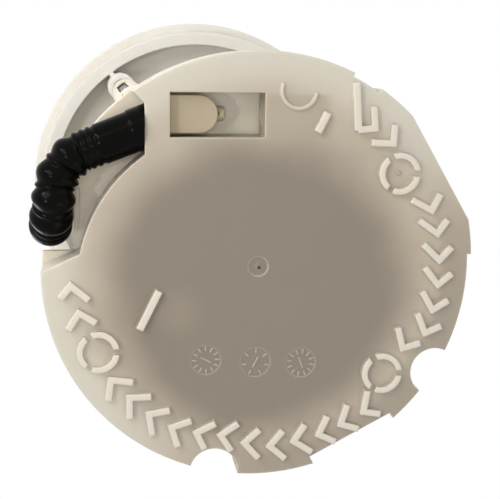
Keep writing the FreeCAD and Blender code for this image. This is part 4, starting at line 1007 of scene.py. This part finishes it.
@dataclass
class DateWheel:
    """A moulded date dial: radial strokes round a pointer, sunk in the base."""

    name: str
    centre: tuple[float, float]
    floor: float
    strokes: int
    pointer_turn: float
    inner: float = 0.0024
    outer: float = 0.0037
    width: float = 0.00042
    height: float = 0.00016
    pointer: tuple[tuple[float, float], ...] = (
        (-0.0016, -0.00018), (0.0013, -0.00022), (0.0019, 0.0), (0.0013, 0.00022), (-0.0016, 0.00018))

    def build(self) -> None:
        """Make the strokes and the pointer."""
        program = NodeProgram(self.name + "_program", {
            "Count": ("NodeSocketInt", self.strokes),
            "Middle Radius": ("NodeSocketFloat", (self.inner + self.outer) / 2.0),
            "Stroke": ("NodeSocketVector", (self.outer - self.inner, self.width, self.height)),
        })
        given = program.source.outputs
        circle = program.step("GeometryNodeMeshCircle", {
            "Vertices": given["Count"], "Radius": given["Middle Radius"]})
        stroke = program.step("GeometryNodeMeshCube", {"Size": given["Stroke"]})
        place = program.step("GeometryNodeInputPosition")
        turn = program.step("FunctionNodeAlignRotationToVector", {"Vector": place.outputs[0]}, axis="X")
        spread = program.step("GeometryNodeInstanceOnPoints", {
            "Points": circle.outputs["Mesh"], "Instance": stroke.outputs["Mesh"],
            "Rotation": turn.outputs[0]})
        mesh = program.end(spread.outputs[0], "witness_mark")
        mesh.transform(Matrix.Rotation(math.radians(self.pointer_turn), 4, "Z"))
        mesh = self.with_pointer(mesh)
        mesh.transform(Matrix.Translation((*self.centre, self.floor - self.height / 2.0)))
        smooth(mesh, 30.0)
        piece = add_piece(self.name, mesh, "witness_mark")
        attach(piece, Body.RESERVOIR.value)

    def with_pointer(self, mesh: bpy.types.Mesh) -> bpy.types.Mesh:
        """Add the pointer's slim wedge to the strokes.

        Args:
            mesh: The strokes.

        Returns:
            The same mesh with the pointer.
        """
        work = bmesh.new()
        work.from_mesh(mesh)
        half = self.height / 2.0
        spin = Matrix.Rotation(math.radians(self.pointer_turn), 3, "Z")
        low = [work.verts.new(spin @ Vector((x, y, -half))) for x, y in self.pointer]
        high = [work.verts.new(spin @ Vector((x, y, half))) for x, y in self.pointer]
        work.faces.new(reversed(low))
        work.faces.new(high)
        for k in range(len(low)):
            after = (k + 1) % len(low)
            work.faces.new((low[k], low[after], high[after], high[k]))
        work.to_mesh(mesh)
        work.free()
        return mesh


@dataclass
class ReservoirBase:
    """The ribbed ivory tray that faces the camera, with its marks."""

    face: float = 1.5 * MM
    dials: list[DateWheel] = field(default_factory=lambda: [
        DateWheel("date_wheel_left", (-0.0136, 0.0249), DIAL_FLOOR, 12, 28.0),
        DateWheel("date_wheel_middle", (-0.0004, 0.0258), DIAL_FLOOR, 7, 118.0),
        DateWheel("date_wheel_right", (0.0118, 0.0263), DIAL_FLOOR, 12, 70.0),
    ])
    pin_mark: tuple[float, float] = (0.0369, -0.0243)
    pin_radius: float = 0.7 * MM
    pin_height: float = 0.16 * MM
    gate_mark: tuple[float, float] = (0.0002, 0.0003)
    gate_radius: float = 0.42 * MM
    gate_height: float = 0.1 * MM
    lip_low: tuple[float, float, float] = (-0.0475, -0.0193, 0.0121)
    lip_high: tuple[float, float, float] = (-0.0455, -0.0031, 0.0134)
    lip_rounding: float = 0.3 * MM

    def build(self) -> None:
        """Make the tray and everything moulded on it."""
        tray = rounded_copy("reservoir_base", "moulded_tray", "tray", 0.0)
        stand_in(tray, "reservoir_base", Body.RESERVOIR)
        for dial in self.dials:
            dial.build()
        self.slot_lip()
        self.mark("pin_mark", self.pin_mark, self.pin_radius, self.pin_height, "witness_mark")
        # The gate's dark dot is painted shade: a low dark dome put where the gate's hole is.
        self.mark("gate_shade_dot", self.gate_mark, self.gate_radius, self.gate_height, "gate_hole_painted_shade")

    def slot_lip(self) -> None:
        """Make the narrow lip that closes the shoulder's slot beside the hose."""
        low, high = Vector(self.lip_low), Vector(self.lip_high)
        mesh = bpy.data.meshes.new("hose_slot_lip")
        work = bmesh.new()
        bmesh.ops.create_cube(work, size=1.0)
        middle, size = (low + high) / 2.0, high - low
        shape = Matrix.Translation(middle) @ Matrix.Diagonal((*size, 1.0))
        bmesh.ops.transform(work, matrix=shape, verts=work.verts)
        bmesh.ops.bevel(
            work, geom=work.edges[:], offset=self.lip_rounding, segments=3, affect="EDGES", profile=0.5)
        work.to_mesh(mesh)
        work.free()
        smooth(mesh, 50.0)
        piece = add_piece("hose_slot_lip", mesh, "ivory_acetal")
        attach(piece, Body.RESERVOIR.value)

    def mark(self, name: str, centre: tuple[float, float], radius: float, height: float,
             finish: str) -> None:
        """Add a small low dome on the underside.

        Args:
            name: Name of the piece.
            centre: Its place in plan.
            radius: Its radius.
            height: How far it stands out.
            finish: Name of its finish.
        """
        mesh = bpy.data.meshes.new(name)
        work = bmesh.new()
        bmesh.ops.create_uvsphere(work, u_segments=20, v_segments=10, radius=1.0)
        work.to_mesh(mesh)
        work.free()
        shape = Matrix.Diagonal((radius, radius, height, 1.0))
        mesh.transform(Matrix.Translation((*centre, self.face)) @ shape)
        smooth(mesh, 60.0)
        piece = add_piece(name, mesh, finish)
        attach(piece, Body.RESERVOIR.value)


@dataclass
class Springs:
    """The three springs in the guide sleeves and the one in the check valve."""

    rods: tuple[tuple[float, float], ...] = (
        (-0.030873, -0.040970), (0.050918, -0.006252), (-0.020045, 0.047222))
    rod_radius: float = 3.1 * MM
    rod_wire: float = 0.8 * MM
    rod_turns: float = 17.0
    valve: tuple[float, float] = (-0.008, 0.0)
    valve_radius: float = 2.5 * MM
    valve_wire: float = 0.5 * MM
    valve_turns: float = 5.0

    def build(self) -> None:
        """Wind each spring to the height of its CAD node."""
        for number, at in enumerate(self.rods, start=1):
            node = f"rod_spring_{number}"
            low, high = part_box(node)
            CoilSpring(f"guide_spring_{number}", node, at, low.z, high.z, self.rod_radius, self.rod_wire,
                       self.rod_turns, Body.RESERVOIR, Body.FLANGE).build()
        low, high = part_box("valve_spring")
        CoilSpring("poppet_spring", "valve_spring", self.valve, low.z, high.z, self.valve_radius,
                   self.valve_wire, self.valve_turns, Body.CHECK_VALVE, Body.RESERVOIR).build()


@dataclass(frozen=True)
class Dressing:
    """How one CAD node is dressed: its body, finish and rounding."""

    node: str
    body: Body
    finish: str
    rounding: float = 0.0


DRESSED: tuple[Dressing, ...] = (
    Dressing("tank_flange", Body.FLANGE, "ivory_flange", 0.4 * MM),
    Dressing("reservoir_cup", Body.RESERVOIR, "ivory_acetal", 0.3 * MM),
    Dressing("reservoir_lid", Body.RESERVOIR, "white_acetal", 0.3 * MM),
    *(Dressing(f"guide_rod_{number}", Body.FLANGE, "bright_steel", 0.2 * MM) for number in (1, 2, 3)),
    *(Dressing(f"sleeve_cap_{number}", Body.RESERVOIR, "black_plastic", 0.2 * MM) for number in (1, 2, 3)),
    Dressing("pump_shell", Body.RESERVOIR, "zinc_shell", 0.25 * MM),
    Dressing("pump_end_cap", Body.RESERVOIR, "black_plastic", 0.2 * MM),
    Dressing("upper_isolator", Body.RESERVOIR, "black_rubber", 0.3 * MM),
    Dressing("lower_isolator", Body.RESERVOIR, "black_rubber", 0.3 * MM),
    Dressing("jet_nozzle", Body.RESERVOIR, "nozzle_acetal", 0.3 * MM),
    Dressing("mixing_tube", Body.RESERVOIR, "white_acetal", 0.1 * MM),
    Dressing("sender_housing", Body.RESERVOIR, "black_plastic", 0.25 * MM),
    Dressing("arm_hub", Body.SENDER_ARM, "white_acetal", 0.25 * MM),
    Dressing("float_arm", Body.SENDER_ARM, "bright_steel", 0.15 * MM),
    Dressing("sender_float", Body.SENDER_ARM, "float_foam"),
)


class OtherNodes:
    """Dresses the CAD nodes that keep their shape."""

    def build(self) -> None:
        """Round the nodes that show, and paint the rest in place."""
        slots = {part["node"]: part["material_slot"] for part in frame["record"]["subparts"]}
        for entry in DRESSED:
            piece = rounded_copy(entry.node, entry.node + "_dressed", entry.finish, entry.rounding)
            stand_in(piece, entry.node, entry.body)
        replaced = {"reservoir_base", "return_hose", "valve_spring"}
        replaced |= {f"rod_spring_{number}" for number in (1, 2, 3)}
        replaced |= {entry.node for entry in DRESSED}
        for node, piece in frame["nodes"].items():
            if node in replaced:
                continue
            self.paint(piece, slots[node])
            LOG.info("node %s painted %s", node, slots[node])

    @staticmethod
    def paint(piece: bpy.types.Object, finish: str) -> None:
        """Give a CAD node's object one finish in its material slots."""
        if not piece.material_slots:
            piece.data.materials.append(PAINT.get(finish))
        for slot in piece.material_slots:
            slot.material = PAINT.get(finish)


@dataclass(frozen=True)
class LampSpot:
    """One square area lamp, and whether gloss and metal show it."""

    name: str
    place: tuple[float, float, float]
    aim: tuple[float, float, float]
    size: float
    power: float
    mirrored: bool = True


MODULE_CENTRE = (0.0, 0.0, 0.07)
TRAY_FACE = (-0.02, -0.02, 0.0)
HOSE_CORNER = (-0.05, -0.02, 0.0)
FLANGE_FACE = (-0.03, -0.03, 0.18)
LAMPS: tuple[LampSpot, ...] = (
    LampSpot("key_lamp", (-0.55, -0.55, -0.55), MODULE_CENTRE, 0.45, 3.0),
    LampSpot("low_lamp", (0.5, 0.35, -0.7), MODULE_CENTRE, 0.5, 1.0),
    LampSpot("front_lamp", (-0.03, -0.03, -0.33), TRAY_FACE, 0.16, 0.36, mirrored=False),
    LampSpot("flange_lamp", (-0.12, -0.135, 0.0), FLANGE_FACE, 0.08, 0.16, mirrored=False),
    LampSpot("glint_lamp", (-0.30, -0.02, -0.34), HOSE_CORNER, 0.016, 0.35),
    LampSpot("side_glint_lamp", (-0.30, -0.22, -0.10), HOSE_CORNER, 0.012, 0.12),
    LampSpot("high_lamp", (0.55, -0.65, 0.75), MODULE_CENTRE, 0.5, 4.2),
    LampSpot("back_lamp", (-0.6, 0.6, 0.6), MODULE_CENTRE, 0.5, 2.8),
)


@dataclass
class Studio:
    """White room, floor, lamps and the camera below the base."""

    camera_place: tuple[float, float, float] = (-0.042479, -0.055089, -0.272828)
    camera_turn: tuple[float, float, float] = (-0.18103854, 0.14412744, 0.0)
    lens: float = 78.12
    sensor: float = 36.0
    floor_half: float = 2.0
    floor_height: float = -0.0006
    floor_colour: tuple[float, float, float, float] = (0.86, 0.86, 0.85, 1.0)
    floor_roughness: float = 0.8
    fill: float = 0.41

    def build(self) -> None:
        """Make the camera, the room, the floor and the lamps."""
        scene = bpy.context.scene
        scene.view_settings.view_transform = "Standard"
        self.make_camera()
        self.make_room()
        self.make_floor()
        for spot in LAMPS:
            self.lamp(spot)

    def make_camera(self) -> None:
        """Place the camera as the photograph's perspective says."""
        data = bpy.data.cameras.new("photo_camera")
        data.lens = self.lens
        data.sensor_width = self.sensor
        data.clip_start = 0.01
        data.clip_end = 20.0
        camera = bpy.data.objects.new("photo_camera", data)
        bpy.context.scene.collection.objects.link(camera)
        turn = Vector(self.camera_turn)
        axes = Matrix.Rotation(turn.length, 3, turn.normalized())
        flip = Matrix.Diagonal((1.0, -1.0, -1.0))
        camera.matrix_world = Matrix.Translation(self.camera_place) @ (axes @ flip).to_4x4()
        bpy.context.scene.camera = camera

    def make_room(self) -> None:
        """Make a world that is white to look at and a soft grey fill otherwise."""
        world = bpy.data.worlds.new("white_room")
        world.use_nodes = True
        bpy.context.scene.world = world
        tree = Tree(world.node_tree)
        path = tree.node("ShaderNodeLightPath")
        seen = tree.math("MAXIMUM", path.outputs["Is Camera Ray"], path.outputs["Is Glossy Ray"])
        seen = tree.math("MAXIMUM", seen, path.outputs["Is Transmission Ray"])
        background = world.node_tree.nodes["Background"]
        background.inputs["Color"].default_value = (1.0, 1.0, 1.0, 1.0)
        tree.feed(tree.ramp(seen, 0.0, 1.0, self.fill, 1.0), background.inputs["Strength"])

    def make_floor(self) -> None:
        """Make a pale floor that shows only from above, so the view from below stays clear."""
        mesh = bpy.data.meshes.new("studio_floor")
        half = self.floor_half
        corners = [(-half, -half), (half, -half), (half, half), (-half, half)]
        mesh.from_pydata([(x, y, self.floor_height) for x, y in corners], [], [(0, 1, 2, 3)])
        material = bpy.data.materials.new("pale_floor")
        material.use_nodes = True
        tree = Tree(material.node_tree)
        shader = material.node_tree.nodes["Principled BSDF"]
        shader.inputs["Base Color"].default_value = self.floor_colour
        shader.inputs["Roughness"].default_value = self.floor_roughness
        path = tree.node("ShaderNodeLightPath")
        side = tree.node("ShaderNodeNewGeometry")
        front = tree.math("SUBTRACT", 1.0, side.outputs["Backfacing"])
        shown = tree.math("MULTIPLY", path.outputs["Is Camera Ray"], front)
        clear = tree.node("ShaderNodeBsdfTransparent")
        both = tree.node("ShaderNodeMixShader")
        tree.feed(shown, both.inputs[0])
        tree.feed(clear.outputs[0], both.inputs[1])
        tree.feed(shader.outputs[0], both.inputs[2])
        tree.feed(both.outputs[0], material.node_tree.nodes["Material Output"].inputs["Surface"])
        mesh.materials.append(material)
        floor = bpy.data.objects.new("studio_floor", mesh)
        bpy.context.scene.collection.objects.link(floor)

    @staticmethod
    def lamp(spot: LampSpot) -> None:
        """Add one area lamp that faces its aim."""
        data = bpy.data.lights.new(spot.name, "AREA")
        data.size = spot.size
        data.energy = spot.power
        lamp = bpy.data.objects.new(spot.name, data)
        lamp.location = spot.place
        lamp.rotation_mode = "QUATERNION"
        lamp.rotation_quaternion = (Vector(spot.aim) - Vector(spot.place)).to_track_quat("-Z", "Y")
        lamp.visible_glossy = spot.mirrored
        bpy.context.scene.collection.objects.link(lamp)


def main() -> None:
    """Build the studio and every sub-assembly in order."""
    logging.basicConfig(level=logging.INFO, format="%(message)s")
    Studio().build()
    ReservoirBase().build()
    CorrugatedHose().build()
    Springs().build()
    OtherNodes().build()


if __name__ == "__main__":
    main()
